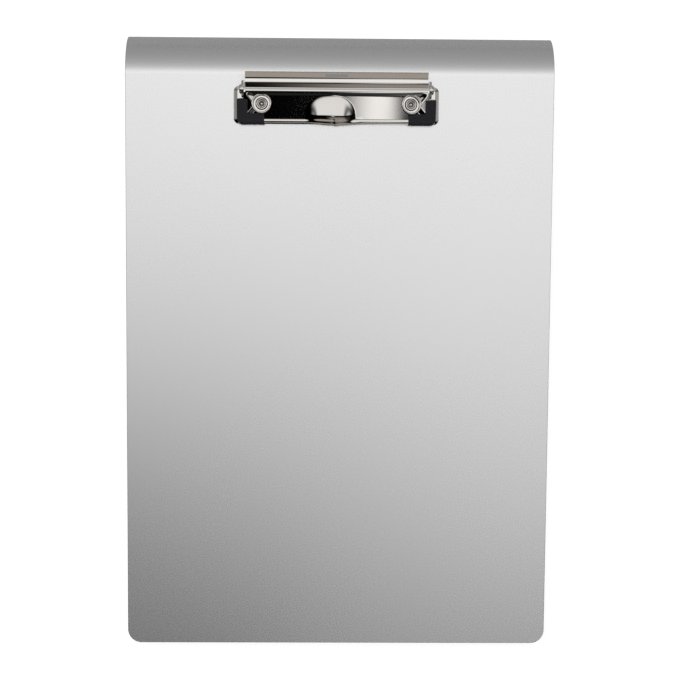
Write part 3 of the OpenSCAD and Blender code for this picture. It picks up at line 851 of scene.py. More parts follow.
@dataclass
class ClipJaw:
    """The thumb lever and the jaw, one pressed sheet with a slot, a panel, a middle dome and two bosses."""

    section: JawSection = field(default_factory=JawSection)
    half: float = 52.5
    lever_half: float = 48.5
    lever_end_u: float = 9.4
    face_end_u: float = 12.9
    column: float = 0.5
    row: float = 0.35
    slot_half: float = 6.0
    slot_from: float = 0.7
    slot_to: float = 2.7
    slot_tab_t: float = 0.6
    slot_tab_h: float = 2.2
    slot_tab_sunk: float = 0.03
    panel_depth: float = 0.5
    panel_half: float = 47.0
    panel_edge: float = 1.6
    panel_start: tuple[float, float] = (9.2, 11.8)
    panel_stop: tuple[float, float] = (27.0, 24.6)
    waist: float = 4.0
    waist_start: float = 9.0
    waist_u: float = 16.0
    waist_stop: float = 22.5
    barrel_h: float = 0.25
    dome_x: float = -3.2
    dome_u: float = 21.0
    dome_half: float = 13.4
    dome_reach: float = 10.5
    dome_tilt: float = 0.225
    dome_round: float = 1.2
    dome_fade: float = 0.8
    dome_stop: float = 25.8
    boss_r: float = 5.3
    boss_top: float = 8.6
    well_r: float = 4.4
    well_play: float = 0.35
    bow_half: float = 14.0
    bow_depth: float = 0.9
    bow_span: tuple[float, float] = (22.0, 25.2)
    tab_half: float = 1.3
    tab_out: float = 0.3
    lug_out: float = 49.3
    lug_r: float = 3.5
    lug_foot_u: float = 15.0

    def build(self) -> None:
        """Makes the pressed sheet, and adds the bosses and the lugs."""
        bm = bmesh.new()
        rows = self.section.rows(self.row)
        line = [Vector((-self.half, -r.u, r.h)) for r in rows]
        pull_along_x(bm, line, self.column, round(2.0 * self.half / self.column))
        self._cut(bm, rows)
        self._press(bm, rows)
        face_up(bm, height)
        thicken_both_ways(bm, SIZES.clip_sheet)
        for side in Side:
            self._boss(bm, side)
            self._lug(bm, side)
        self._slot_tab(bm)
        plan = PiecePlan(
            "clip_jaw_sheet", ("clip_jaw",), Body.JAW, BRIGHT_CLIP, Slot.CHROME, soften=0.18,
            smooth_angle=50.0,
        )
        add_piece(bm, SIZES.clip_frame, plan)

    def _cut(self, bm: BMesh, rows: list[SheetRow]) -> None:
        """Cuts the lever's ends, the slot and the wells out of the sheet.

        Args:
            bm: The sheet's bmesh.
            rows: The section's rows.
        """
        tip = Vector((rows[0].u, rows[0].h))
        gone = []
        for face in bm.faces:
            c = face.calc_center_median()
            u, x = -c.y, abs(c.x)
            from_tip = (Vector((u, c.z)) - tip).length
            in_slot = x < self.slot_half and self.slot_from < from_tip < self.slot_to
            past_lever = x > self.lever_half and u < self.lever_end_u
            past_lug = x > self.lug_out and u < self.face_end_u
            from_rivet = math.hypot(x - SIZES.clip_rivet_x, u - SIZES.clip_rivet_u)
            in_well = from_rivet < self.well_r + self.well_play
            if in_slot or past_lever or past_lug or in_well:
                gone.append(face)
        bmesh.ops.delete(bm, geom=gone, context="FACES")

    def _slot_tab(self, bm: BMesh) -> None:
        """Adds the tab that is bent down from the hanging slot's lower edge.

        Args:
            bm: The jaw's bmesh.
        """
        tip, foot = (Vector((0.0, -c[0], c[1])) for c in self.section.corners[:2])
        along = (foot - tip).normalized()
        out = Vector((0.0, along.z, -along.y))
        half_sheet = SIZES.clip_sheet / 2.0
        top = tip + along * self.slot_to + out * (half_sheet - self.slot_tab_sunk)
        ends = [top + AXIS_X * x + along * d for x, d in (
            (-self.slot_half, -SIZES.run), (self.slot_half, -SIZES.run),
            (self.slot_half, self.slot_tab_t), (-self.slot_half, self.slot_tab_t),
        )]
        thicken(bm, plate_face(bm, ends), out * -(half_sheet + self.slot_tab_h))

    def lift(self, x: float, u: float) -> float:
        """How far the pressed sheet stands above the plain section.

        Args:
            x: Place across the clip.
            u: Distance from the roll.

        Returns:
            The lift along the sheet's outward side.
        """
        across = abs(x)
        waist = self.waist * smooth_step(self.waist_start, self.waist_u, u)
        edge = self.panel_half - waist * smooth_step(self.waist_stop, self.waist_u, u)
        panel = smooth_step(edge + self.panel_edge, edge - self.panel_edge, across)
        panel *= smooth_step(*self.panel_start, u) * smooth_step(*self.panel_stop, u)
        barrel = 1.0 - (across / self.panel_half) ** 2
        side = max(0.0, 1.0 - ((x - self.dome_x) / self.dome_half) ** 2)
        climb = max(0.0, u - self.dome_u + self.dome_reach * math.sqrt(side))
        dome = self.dome_tilt * (math.hypot(climb, self.dome_round) - self.dome_round)
        dome *= smooth_step(0.0, self.dome_fade, side) * smooth_step(self.dome_stop, self.dome_u, u)
        return (self.barrel_h * barrel - self.panel_depth) * panel + dome

    def bow(self, x: float, u: float) -> float:
        """How far the lip bows away from the roll in the middle."""
        if abs(x) >= self.bow_half:
            return 0.0
        swell = 0.5 * (1.0 + math.cos(math.pi * x / self.bow_half))
        tab = self.tab_out if abs(x) < self.tab_half else 0.0
        return (self.bow_depth * math.sqrt(swell) + tab) * smooth_step(*self.bow_span, u)

    def _press(self, bm: BMesh, rows: list[SheetRow]) -> None:
        """Presses the panel, the dome and the lip's bow into the sheet.

        Args:
            bm: The sheet's bmesh.
            rows: The section's rows.
        """
        by_place = {(round(r.u, 3), round(r.h, 3)): r for r in rows}
        for vert in bm.verts:
            u = -vert.co.y
            row = by_place[(round(u, 3), round(vert.co.z, 3))]
            lift = self.lift(vert.co.x, u)
            vert.co.y -= row.out_u * lift + self.bow(vert.co.x, u)
            vert.co.z += row.out_h * lift

    def _boss(self, bm: BMesh, side: Side) -> None:
        """Adds the raised ring about a rivet well.

        Args:
            bm: The jaw's bmesh.
            side: The ring's side.
        """
        top, out, well = self.boss_top, self.boss_r, self.well_r
        profile = rounded(
            [(well, 5.4, 0.0), (well, top, 0.4), (out, top, 0.45), (out + 0.25, 5.0, 0.0)], 6
        )
        profile.append(((well + out) / 2.0, 4.6))
        turn(bm, profile, SIZES.clip_rivet(side), steps=64, closed=True)

    def _lug(self, bm: BMesh, side: Side) -> None:
        """Adds a lug that hangs from the end of the face, around the pin.

        Args:
            bm: The jaw's bmesh.
            side: The lug's side.
        """
        sheet, pin_u, pin_h = SIZES.clip_sheet, SIZES.clip_pin_u, SIZES.clip_pin_h
        x = self.lug_out - sheet if side is Side.RIGHT else -self.lug_out
        outline = [
            Vector((x, -pin_u + self.lug_r * math.cos(a + math.pi), pin_h - self.lug_r * math.sin(a)))
            for a in (math.radians(step) for step in range(20, 236, 12))
        ]
        outline += [
            Vector((x, -u, self.section.face_height(u))) for u in (self.lever_end_u, self.lug_foot_u)
        ]
        thicken(bm, plate_face(bm, outline), Vector((sheet, 0.0, 0.0)))


@dataclass
class RubberCorners:
    """The black rubber corners: each caps the jaw's end and its lip in the shape of an L."""

    jaw: ClipJaw
    length: float = 14.0
    side_w: float = 5.0
    lip: float = 5.2
    top: float = 13.4
    rubber: float = 0.6
    round_r: float = 3.0
    round_share: float = 0.75
    row: float = 0.4
    columns: int = 36
    end_play: float = 0.1

    def build(self) -> None:
        """Makes both corners."""
        for side in Side:
            self._corner(side)

    def _corner(self, side: Side) -> None:
        """Makes one corner.

        Args:
            side: The corner's side.
        """
        outer = self.jaw.half + self.rubber
        inner = self.jaw.half - self.side_w
        start = self.jaw.half - self.length
        section = self.jaw.section
        bm = bmesh.new()
        line = [Vector((start, -r.u, r.h)) for r in section.rows(self.row, self.top)]
        pull_along_x(bm, line, (outer - self.end_play - start) / self.columns, self.columns)
        lip_u = SIZES.clip_end - self.lip
        middles = [(f, f.calc_center_median()) for f in bm.faces]
        gone = [f for f, middle in middles if middle.x < inner and -middle.y < lip_u]
        bmesh.ops.delete(bm, geom=gone, context="FACES")
        round_u = section.corners[-1][0] - self.round_r
        for vert in bm.verts:
            past = -vert.co.y - round_u
            if past > 0.0 and vert.co.x > outer - self.round_r:
                fall = self.round_r - math.sqrt(max(self.round_r ** 2 - min(past, self.round_r) ** 2, 0.0))
                share = (vert.co.x - (outer - self.round_r)) / self.round_r
                vert.co.x -= self.round_share * fall * share
        face_up(bm, height)
        thicken_both_ways(bm, SIZES.clip_sheet + 2.0 * self.rubber)
        if side is Side.LEFT:
            bmesh.ops.scale(bm, vec=(-1.0, 1.0, 1.0), verts=bm.verts)
        plan = PiecePlan(
            f"rubber_corner_{side.word}", (f"grip_{side.word}",), Body.JAW, BLACK_RUBBER,
            Slot.BLACK_RUBBER, soften=0.45, soften_steps=4, smooth_angle=45.0,
        )
        add_piece(bm, SIZES.clip_frame, plan)


@dataclass
class ClipHardware:
    """The clip's hollow rivets, their washers, its pin and its two springs."""

    shank_r: float = 2.1
    rivet_wall: float = 0.3
    head_r: float = 3.4
    head_t: float = 0.9
    crown_h: float = 0.8
    set_t: float = 0.7
    washer_t: float = 0.8
    washer_r: float = 5.0
    pin_r: float = 1.5
    pin_head_r: float = 2.4
    pin_head_t: float = 1.2
    wire_r: float = 0.45
    coil_r: float = 2.15
    turns: int = 6
    pitch: float = 1.5
    spring_x: float = 14.0
    coil_from: float = 250.0
    coil_stop: float = 200.0
    foot_run: float = 4.0
    foot_bend: float = 0.9
    lever_leg: float = 5.3
    steps_a_turn: int = 24

    def build(self) -> None:
        """Makes the rivets, the washers, the pin and the springs."""
        for side in Side:
            self._rivet(side)
            self._washer(side)
            self._spring(side)
        self._pin()

    def _rivet(self, side: Side) -> None:
        """Makes a hollow rivet about its mandrel, with a rolled head and a set end under the washer.

        Args:
            side: The rivet's side.
        """
        hole, shank, head = self.shank_r - self.rivet_wall, self.shank_r, self.head_r
        low = SIZES.clip_sheet + SIZES.run
        top = low + self.head_t
        under = -SIZES.lid_t - self.washer_t - SIZES.run
        end = under - self.set_t
        roll = (head - hole) / 2.0
        crown = [
            (hole + roll * (1.0 - math.cos(a)), top - self.crown_h * (1.0 - math.sin(a)), 0.0)
            for a in (math.radians(step) for step in range(0, 181, 12))
        ]
        profile = rounded([
            (0.0, low + 0.62, 0.0), (0.35, low + 0.6, 0.15), (hole - 0.15, low + 0.02, 0.1), *crown,
            (head, low, 0.1), (shank, low, 0.0), (shank, under, 0.0), (head - 0.5, under, 0.1),
            (head - 0.5, end, 0.3), (hole, end, 0.3), (hole, under + 0.3, 0.2), (0.0, under + 0.3, 0.0),
        ], 6)
        plan = PiecePlan(
            f"hollow_rivet_{side.word}", (f"clip_rivet_{side.word}",), Body.LID, BRIGHT_CLIP, Slot.CHROME,
        )
        add_turned(plan, SIZES.clip_frame, profile, SIZES.clip_rivet(side), steps=64)

    def _washer(self, side: Side) -> None:
        """Makes the washer under the lid.

        Args:
            side: The washer's side.
        """
        top = -SIZES.lid_t - SIZES.run / 2.0
        profile = ring_profile(self.shank_r + SIZES.run, self.washer_r, top - self.washer_t, top, 0.15)
        plan = PiecePlan(
            f"rivet_backing_{side.word}", (f"rivet_washer_{side.word}",), Body.LID, PLATED_STEEL,
            Slot.HARDWARE,
        )
        add_turned(plan, SIZES.clip_frame, profile, SIZES.clip_rivet(side), closed=True)

    def _pin(self) -> None:
        """Makes the pin that lever, lugs and springs share, with a round head at each end."""
        low = SIZES.clip_lug_out + SIZES.run
        high = low + self.pin_head_t
        half = rounded([
            (self.pin_r, 0.0, 0.0), (self.pin_r, low, 0.0), (self.pin_head_r, low, 0.1),
            (self.pin_head_r, high, 0.65), (0.0, high, 0.0),
        ], 6)
        profile = [(r, -h) for r, h in reversed(half)] + half[1:]
        plan = PiecePlan("clip_pin_rod", ("clip_pin",), Body.LID, BRIGHT_CLIP, Slot.HARDWARE)
        add_turned(plan, SIZES.clip_frame, profile, SIZES.clip_pin @ along_x(), steps=40)

    def _on_coil(self, angle: float) -> Vector:
        """A point on the coil, about the pin, for an angle in degrees."""
        a = math.radians(angle)
        return Vector((
            self.pitch * (self.coil_from - angle) / 360.0,
            -self.coil_r * math.cos(a),
            self.coil_r * math.sin(a),
        ))

    def spring_line(self) -> list[Vector]:
        """The spring's route about the pin: a leg on the base, the coil, a leg under the lever.

        Returns:
            The route's points, for the right-hand spring.
        """
        coil_to = self.coil_stop - 360.0 * self.turns
        count = round((self.coil_from - coil_to) / 360.0 * self.steps_a_turn)
        coil = [
            self._on_coil(self.coil_from + (coil_to - self.coil_from) * i / count) for i in range(count + 1)
        ]
        first = math.radians(self.coil_from)
        away = Vector((0.0, math.sin(first), math.cos(first)))
        drop = coil[0].z + SIZES.clip_pin_h - SIZES.clip_sheet - self.wire_r - SIZES.run
        foot = coil[0] - away * drop / math.cos(first)
        last = math.radians(coil_to)
        leaving = Vector((0.0, -math.sin(last), -math.cos(last)))
        turned = Vector((0.0, -self.foot_bend, 0.0))
        up = (coil[0] - foot).normalized() * self.foot_bend
        bend = [foot + turned * (1.0 - t) ** 2 + up * t ** 2 for t in (0.0, 0.25, 0.5, 0.75, 1.0)]
        legs = [foot - Vector((0.0, run, 0.0)) for run in (self.foot_run, 0.6 * self.foot_run)]
        return [
            *legs, *bend, *coil,
            *(coil[-1] + leaving * self.lever_leg * share for share in (0.2, 0.5, 0.8, 1.0)),
        ]

    def _spring(self, side: Side) -> None:
        """Makes a torsion spring of round wire that twists between the lid and the jaw.

        Args:
            side: The spring's side.
        """
        name = f"torsion_spring_{side.word}"
        curve = bpy.data.curves.new(name + "_route", "CURVE")
        curve.dimensions = "3D"
        curve.bevel_depth = self.wire_r
        curve.bevel_resolution = 4
        curve.use_fill_caps = True
        route = self.spring_line()
        spline = curve.splines.new("POLY")
        spline.points.add(len(route) - 1)
        for point, place in zip(spline.points, route):
            point.co = (*place, 1.0)
        holder = put_in_scene(name + "_route", curve)
        bpy.context.view_layer.update()
        wire = bpy.data.meshes.new_from_object(holder.evaluated_get(bpy.context.evaluated_depsgraph_get()))
        bpy.data.objects.remove(holder)
        bm = bmesh.new()
        bm.from_mesh(wire)
        bpy.data.meshes.remove(wire)
        bmesh.ops.remove_doubles(bm, verts=bm.verts, dist=WELDED)
        place = Matrix.Translation((self.spring_x, 0.0, 0.0))
        if side is Side.LEFT:
            place = Matrix.Scale(-1.0, 4, AXIS_X) @ place
        frame = SIZES.clip_frame @ SIZES.clip_pin
        bmesh.ops.transform(bm, matrix=Matrix.Scale(MM, 4) @ frame @ place, verts=bm.verts)
        piece = put_in_scene(name, smooth_mesh(bm, name, 50.0, SPRING_WIRE))
        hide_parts(f"spring_{side.word}")
        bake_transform(piece)
        LOG.info("%s twists between the lid and the jaw", name)


@dataclass
class HingeHardware:
    """The pins that the lid turns on, and the washers between cheeks and side walls."""

    pin_r: float = 2.5
    head_r: float = 5.0
    head_t: float = 1.1
    set_r: float = 3.8
    set_t: float = 1.2
    washer_r: float = 6.5

    def build(self) -> None:
        """Makes both sides."""
        for side in Side:
            frame = SIZES.axis_frame @ Matrix.Rotation(0.0 if side is Side.RIGHT else math.pi, 4, "Y")
            self._pin(side, frame)
            self._washer(side, frame)

    def _pin(self, side: Side, frame: Matrix) -> None:
        """Makes a pin with a domed outer head and a set inner end.

        Args:
            side: The pin's side.
            frame: The hinge axis, with X pointing out of the box.
        """
        out = SIZES.cheek_out + SIZES.run
        inner = SIZES.wall_out - SIZES.tray_t - SIZES.run
        end, top = inner - self.set_t, out + self.head_t
        profile = rounded([
            (0.0, end + 0.35, 0.0), (1.2, end + 0.35, 0.2), (2.0, end, 0.3), (self.set_r, end, 0.5),
            (self.set_r, inner, 0.2), (self.pin_r, inner, 0.0), (self.pin_r, out, 0.0),
            (self.head_r, out, 0.1), (self.head_r, out + 0.45, 0.3), (self.head_r - 1.0, top, 0.8),
            (0.0, top, 0.0),
        ])
        plan = PiecePlan(
            f"hinge_pin_{side.word}", (f"pivot_pin_{side.word}",), Body.TRAY, PLATED_STEEL, Slot.HARDWARE,
        )
        add_turned(plan, frame, profile, along_x())

    def _washer(self, side: Side, frame: Matrix) -> None:
        """Makes a thin nylon washer.

        Args:
            side: The washer's side.
            frame: The hinge axis, with X pointing out of the box.
        """
        low = SIZES.wall_out + SIZES.run / 2.0
        top = SIZES.cheek_out - SIZES.cheek_t - SIZES.run
        profile = ring_profile(self.pin_r + SIZES.run, self.washer_r, low, top, 0.1)
        plan = PiecePlan(
            f"hinge_washer_{side.word}", (f"pivot_washer_{side.word}",), Body.TRAY, NYLON, Slot.WASHER,
        )
        add_turned(plan, frame, profile, along_x(), closed=True)


@dataclass
class TrayRivets:
    """The ten rivets that hold the side walls to the pan."""

    rivet_r: float = 1.6
    head_t: float = 1.0
    set_t: float = 1.4
    floor_flange: float = 10.0
    tab_w: float = 14.0
    count: int = 4
    first: float = 26.0
    last: float = 34.0

    def places(self) -> list[Matrix]:
        """Where the rivets' outer heads are, with Z pointing out of the sheet.

        Returns:
            One frame for each rivet.
        """
        front = -SIZES.axis_y - SIZES.roll_r + SIZES.front_inset
        begin = front + self.first
        step = (SIZES.axis_y - self.last - begin) / (self.count - 1)
        down = Matrix.Rotation(math.pi, 4, "X")
        ahead = Matrix.Rotation(math.radians(90.0), 4, "X")
        low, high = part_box("tray_rivets")
        tab_z = (high.z / MM) - 2.0 * self.rivet_r
        found = []
        for side in Side:
            x = side.value * (SIZES.wall_out - (self.floor_flange + SIZES.tray_t) / 2.0)
            for i in range(self.count):
                found.append(Matrix.Translation((x, begin + i * step, SIZES.foot_h)) @ down)
            x = side.value * (SIZES.wall_out - self.tab_w / 2.0 - SIZES.tray_t / 2.0)
            found.append(Matrix.Translation((x, low.y / MM + self.head_t, tab_z)) @ ahead)
        return found

    def build(self) -> None:
        """Turns all ten into one piece."""
        stack = 2.0 * SIZES.tray_t + SIZES.run
        head, shank, end = 2.0 * self.rivet_r, self.rivet_r, 1.45 * self.rivet_r
        profile = rounded([
            (0.0, -stack - self.set_t, 0.0), (end, -stack - self.set_t, 0.4), (end, -stack, 0.2),
            (shank, -stack, 0.0), (shank, 0.0, 0.0), (head - 0.3, 0.0, 0.05), (head - 0.5, 0.35, 0.2),
            (head / 2.0, self.head_t - 0.12, 1.2), (0.0, self.head_t, 0.0),
        ])
        bm = bmesh.new()
        for place in self.places():
            turn(bm, profile, place, steps=28)
        plan = PiecePlan("tray_rivet_set", ("tray_rivets",), Body.TRAY, RIVET_METAL, Slot.RIVET)
        add_piece(bm, Matrix.Identity(4), plan)


@dataclass
class FeetAndCatch:
    """The rubber feet, the bumpers, and the magnets with their strike discs."""

    foot_r: float = 7.0
    taper: float = 1.0
    bumper_r: float = 4.0
    bumper_t: float = 1.3
    magnet_r: float = 5.0
    magnet_t: float = 2.0
    strike_r: float = 6.0
    strike_t: float = 1.0

    def build(self) -> None:
        """Makes every one of them on the middle of its node."""
        for side in Side:
            for end in ("front", "rear"):
                self._foot(f"foot_{end}_{side.word}")
            self._bumper(side)
            magnet, strike = f"magnet_{side.word}", f"strike_{side.word}"
            plan = PiecePlan("catch_" + magnet, (magnet,), Body.TRAY, MAGNET_PLATING, Slot.MAGNET)
            self._disc(plan, self.magnet_r, self.magnet_t, 0.3)
            plan = PiecePlan("catch_" + strike, (strike,), Body.LID, PLATED_STEEL, Slot.HARDWARE)
            self._disc(plan, self.strike_r, self.strike_t, 0.2)

    @staticmethod
    def _middle(node: str) -> Vector:
        """The middle of a node, in millimetres."""
        low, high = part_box(node)
        return (low + high) / 2.0 / MM

    def _foot(self, node: str) -> None:
        """Makes a foot with a round edge, standing on the table.

        Args:
            node: The foot's node.
        """
        centre = self._middle(node)
        low, h = self.foot_r - self.taper, SIZES.foot_h
        profile = rounded([
            (0.0, 0.35, 0.0), (2.4, 0.35, 0.3), (2.9, 0.0, 0.3), (low, 0.0, 0.6), (self.foot_r, h, 0.15),
            (0.0, h, 0.0),
        ])
        plan = PiecePlan("rubber_" + node, (node,), Body.TRAY, GREY_RUBBER, Slot.GREY_RUBBER)
        add_turned(plan, Matrix.Translation((centre.x, centre.y, 0.0)), profile)

    def _tilted(self, node: str) -> Matrix:
        """A frame on the middle of a node, with Z square to the lid."""
        return Matrix.Translation(self._middle(node)) @ Matrix.Rotation(SIZES.slope, 4, "X")

    def _bumper(self, side: Side) -> None:
        """Makes a domed bumper.

        Args:
            side: The bumper's side.
        """
        node = f"lid_bumper_{side.word}"
        half = self.bumper_t / 2.0
        profile = rounded([
            (0.0, -half, 0.0), (self.bumper_r, -half, 0.1), (self.bumper_r - 0.35, half - 0.35, 0.4),
            (self.bumper_r - 1.6, half, 0.8), (0.0, half, 0.0),
        ])
        plan = PiecePlan(f"bumper_{side.word}", (node,), Body.TRAY, GREY_RUBBER, Slot.GREY_RUBBER)
        add_turned(plan, self._tilted(node), profile)

    def _disc(self, plan: PiecePlan, radius: float, thick: float, edge: float) -> None:
        """Makes a disc with broken edges.

        Args:
            plan: The disc's plan.
            radius: Its radius.
            thick: Its thickness.
            edge: The radius of its edges.
        """
        half = thick / 2.0
        profile = rounded([
            (0.0, -half, 0.0), (radius, -half, edge), (radius, half, edge), (0.0, half, 0.0),
        ])
        add_turned(plan, self._tilted(plan.nodes[0]), profile)


@dataclass
class Studio:
    """The floor, the soft light and the camera."""

    camera_place: tuple[float, float, float] = (-0.0162, 0.0145, 0.950)
    camera_turn: tuple[float, float, float] = (-0.81, -1.06, 0.32)
    lens: float = 89.48
    floor_half: float = 3.0
    paper: float = 0.38
    paper_seen: float = 0.82
    paper_mirrored: float = 0.03
    sweep: tuple[tuple[float, float], ...] = (
        (-90.0, 0.38), (-78.0, 0.38), (-75.5, 0.24), (-66.0, 0.22), (-50.0, 0.05), (-40.0, 0.004),
        (-27.0, 0.004), (-23.5, 0.13), (-20.0, 0.44), (-16.5, 0.72), (-12.0, 0.84), (-8.0, 0.91),
        (-4.0, 0.96), (1.0, 1.26), (5.0, 1.13), (12.0, 0.74), (20.0, 0.54), (30.0, 0.44),
        (44.0, 0.37), (60.0, 0.33), (75.0, 0.31), (90.0, 0.30),
    )
    window_level: float = 1.15
    warm: tuple[float, float, float] = (1.12, 1.0, 0.91)
    lamp_place: tuple[float, float, float] = (-0.25, 0.35, 1.7)
    lamp_size: tuple[float, float] = (1.4, 1.0)
    lamp_watts: float = 14.0

    def build(self) -> None:
        """Makes the floor, the light and the camera."""
        self._floor()
        self._world()
        self._lamp()
        self._camera()
        bpy.context.scene.view_settings.view_transform = "Standard"
        LOG.info("the studio is set")

    def _floor(self) -> None:
        """Makes the plain pale floor."""
        bm = bmesh.new()
        bmesh.ops.create_grid(bm, x_segments=1, y_segments=1, size=self.floor_half)
        mesh = bpy.data.meshes.new("studio_floor")
        bm.to_mesh(mesh)
        bm.free()
        floor = put_in_scene("studio_floor", mesh)
        material = bpy.data.materials.new("studio_paper")
        material.use_nodes = True
        bench = NodeBench(material.node_tree)
        output = bench.add("OutputMaterial")
        paper = bench.add("BsdfDiffuse")
        paper.inputs["Color"].default_value = (self.paper, self.paper, self.paper, 1.0)
        glow = bench.add("Emission")
        seen, mirrored = self._rays(bench)
        direct = bench.math("MULTIPLY", seen, self.paper_seen)
        strength = bench.math("ADD", direct, bench.math("MULTIPLY", mirrored, self.paper_mirrored))
        bench.link(strength, glow.inputs["Strength"])
        both = bench.add("AddShader")
        bench.link(paper.outputs[0], both.inputs[0])
        bench.link(glow.outputs[0], both.inputs[1])
        bench.link(both.outputs[0], output.inputs["Surface"])
        mesh.materials.append(material)

    @staticmethod
    def _rays(bench: NodeBench) -> tuple[bpy.types.NodeSocket, bpy.types.NodeSocket]:
        """Tells the rays that see the background from the rays that mirror it.

        Args:
            bench: The bench to add it on.

        Returns:
            Whether a ray comes from the camera or through a clear piece, and whether from a glossy one.
        """
        rays = bench.add("LightPath").outputs
        seen = bench.math("MAXIMUM", rays["Is Camera Ray"], rays["Is Transmission Ray"])
        return seen, rays["Is Glossy Ray"]

    def _world(self) -> None:
        """Makes the soft light of a studio: bright overhead, grey behind, dark low in front."""
        world = bpy.data.worlds.new("studio_light")
        bpy.context.scene.world = world
        world.use_nodes = True
        bench = NodeBench(world.node_tree)
        output = bench.add("OutputWorld")
        light = bench.add("Background")
        bench.link(light.outputs[0], output.inputs["Surface"])
        way = bench.add("SeparateXYZ")
        bench.link(bench.add("TexCoord").outputs["Generated"], way.inputs[0])
        above = bench.math("MAXIMUM", way.outputs["Z"], 0.0001)
        fore_aft = bench.math("ARCTAN2", way.outputs["Y"], above)
        sideways = bench.math("ARCTAN2", way.outputs["X"], above)
        outwards = bench.math("ABSOLUTE", bench.math("ARCSINE", way.outputs["X"]))
        level = bench.math("MULTIPLY", self._sweep(bench, fore_aft), self._shade(bench, fore_aft, sideways))
        off_middle = self._step(bench, outwards, 16.0, 30.0, (1.0, 0.22))
        far_out = self._step(bench, outwards, 31.0, 43.0, (0.0, 0.5))
        level = bench.math("MULTIPLY", level, bench.math("ADD", off_middle, far_out))
        window = bench.math("MULTIPLY", self._window(bench, fore_aft, sideways), self.window_level)
        seen, _ = self._rays(bench)
        unseen = bench.math("SUBTRACT", 1.0, seen)
        total = bench.math("MULTIPLY", bench.math("ADD", level, window), unseen)
        tint = bench.add("Mix", data_type="RGBA")
        low = self._step(bench, fore_aft, -50.0, -70.0)
        bench.link(bench.math("MULTIPLY", low, unseen), tint.inputs["Factor"])
        tint.inputs["A"].default_value = (1.0, 1.0, 1.0, 1.0)
        tint.inputs["B"].default_value = (*self.warm, 1.0)
        bench.link(tint.outputs["Result"], light.inputs["Color"])
        bench.link(bench.math("ADD", total, seen), light.inputs["Strength"])

    def _sweep(self, bench: NodeBench, fore_aft: bpy.types.NodeSocket) -> bpy.types.NodeSocket:
        """Gives the light's level from the front over the top to the rear.

        Args:
            bench: The bench to add it on.
            fore_aft: The angle behind straight up, in radians.

        Returns:
            The level.
        """
        half_turn = math.radians(90.0)
        ramp = bench.add("ValToRGB")
        ramp.color_ramp.interpolation = "LINEAR"
        stops = ramp.color_ramp.elements
        while len(stops) < len(self.sweep):
            stops.new(0.5)
        for stop, (angle, level) in zip(stops, self.sweep):
            stop.position = (angle + 90.0) / 180.0
            stop.color = (level, level, level, 1.0)
        bench.link(bench.spread(fore_aft, (-half_turn, half_turn), (0.0, 1.0)), ramp.inputs["Fac"])
        return ramp.outputs["Color"]

    def _shade(self, bench: NodeBench, fore_aft: bpy.types.NodeSocket,
               sideways: bpy.types.NodeSocket) -> bpy.types.NodeSocket:
        """Darkens the light low in front, to the left.

        Args:
            bench: The bench to add it on.
            fore_aft: The angle behind straight up, in radians.
            sideways: The angle to the right of straight up, in radians.

        Returns:
            The share of the light that is left.
        """
        low_front = bench.math(
            "MULTIPLY", self._step(bench, fore_aft, -8.0, -20.0), self._step(bench, fore_aft, -78.0, -73.0)
        )
        to_left = self._step(bench, sideways, 7.0, -6.0, (-0.28, 0.99))
        return bench.math("SUBTRACT", 1.0, bench.math("MULTIPLY", low_front, to_left))

    def _window(self, bench: NodeBench, fore_aft: bpy.types.NodeSocket,
                sideways: bpy.types.NodeSocket) -> bpy.types.NodeSocket:
        """Makes a small bright patch in front.

        Args:
            bench: The bench to add it on.
            fore_aft: The angle behind straight up, in radians.
            sideways: The angle to the right of straight up, in radians.

        Returns:
            The patch, from 0 to 1.
        """
        window = bench.math(
            "MULTIPLY", self._step(bench, fore_aft, -24.5, -29.0), self._step(bench, fore_aft, -40.0, -34.0)
        )
        for start, stop in ((0.8, 3.2), (4.8, 3.8)):
            window = bench.math("MULTIPLY", window, self._step(bench, sideways, start, stop))
        return window

    @staticmethod
    def _step(bench: NodeBench, angle: bpy.types.NodeSocket, start: float, stop: float,
              levels: tuple[float, float] = (0.0, 1.0)) -> bpy.types.NodeSocket:
        """Eases from one level at one angle to another at another.

        Args:
            bench: The bench to add it on.
            angle: The angle, in radians.
            start: Where the step starts, in degrees.
            stop: Where it ends, in degrees.
            levels: The two levels.

        Returns:
            The step's output.
        """
        return bench.spread(angle, (math.radians(start), math.radians(stop)), levels, smooth=True)

    def _lamp(self) -> None:
        """Hangs a wide soft lamp over the box, for the shadow and for what isn't metal."""
        lamp = bpy.data.lights.new("soft_lamp", "AREA")
        lamp.shape = "RECTANGLE"
        lamp.size, lamp.size_y = self.lamp_size
        lamp.energy = self.lamp_watts
        hung = put_in_scene("soft_lamp", lamp)
        hung.location = self.lamp_place
        hung.rotation_euler = (-Vector(self.lamp_place)).to_track_quat("-Z", "Y").to_euler()
        hung.visible_glossy = False

    def _camera(self) -> None:
        """Puts the camera where the photograph was taken from."""
        lens = bpy.data.cameras.new("camera")
        lens.lens = self.lens
        lens.sensor_width = 36.0
        lens.clip_start = 0.05
        lens.clip_end = 20.0
        camera = put_in_scene("camera", lens)
        camera.location = self.camera_place
        camera.rotation_euler = [math.radians(a) for a in self.camera_turn]
        bpy.context.scene.camera = camera


def finish_loose_nodes(frame: dict[str, object]) -> None:
    """Gives every node that still shows a finish of its own.

    Args:
        frame: What the frame's load gave.
    """
    for name, node in frame["nodes"].items():
        if node.hide_render:
            continue
        node.data.materials.clear()
        node.data.materials.append(PLATED_STEEL.material())
        LOG.info("%s keeps its node", name)


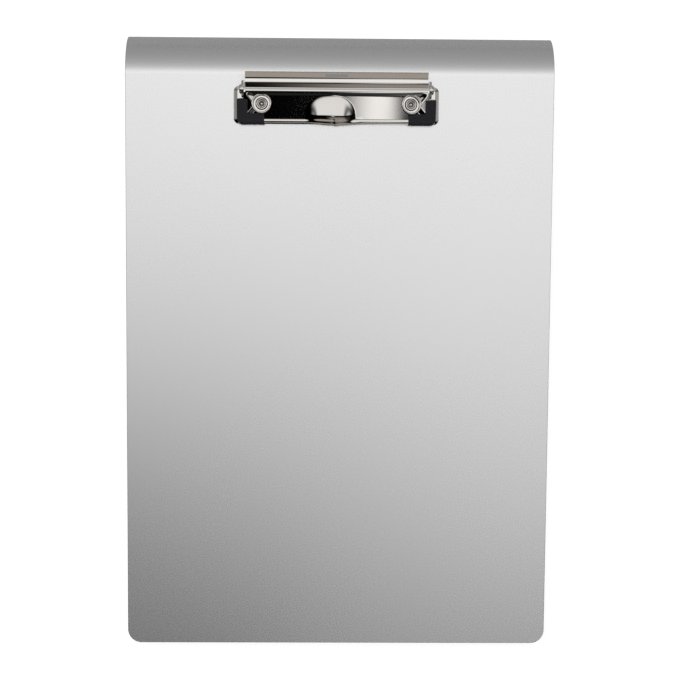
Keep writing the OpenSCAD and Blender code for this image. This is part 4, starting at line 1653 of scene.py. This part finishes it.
def main() -> None:
    """Builds the box, piece by piece, in its studio."""
    logging.basicConfig(level=logging.INFO, format="%(name)s: %(message)s")
    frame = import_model()
    jaw = ClipJaw()
    parts: list[Callable[[], None]] = [
        LidPlate().build,
        CarriedSheets().build,
        ClipBase().build,
        jaw.build,
        RubberCorners(jaw).build,
        ClipHardware().build,
        HingeHardware().build,
        TrayRivets().build,
        FeetAndCatch().build,
        Studio().build,
    ]
    for part in parts:
        part()
    finish_loose_nodes(frame)


if __name__ == "__main__":
    main()
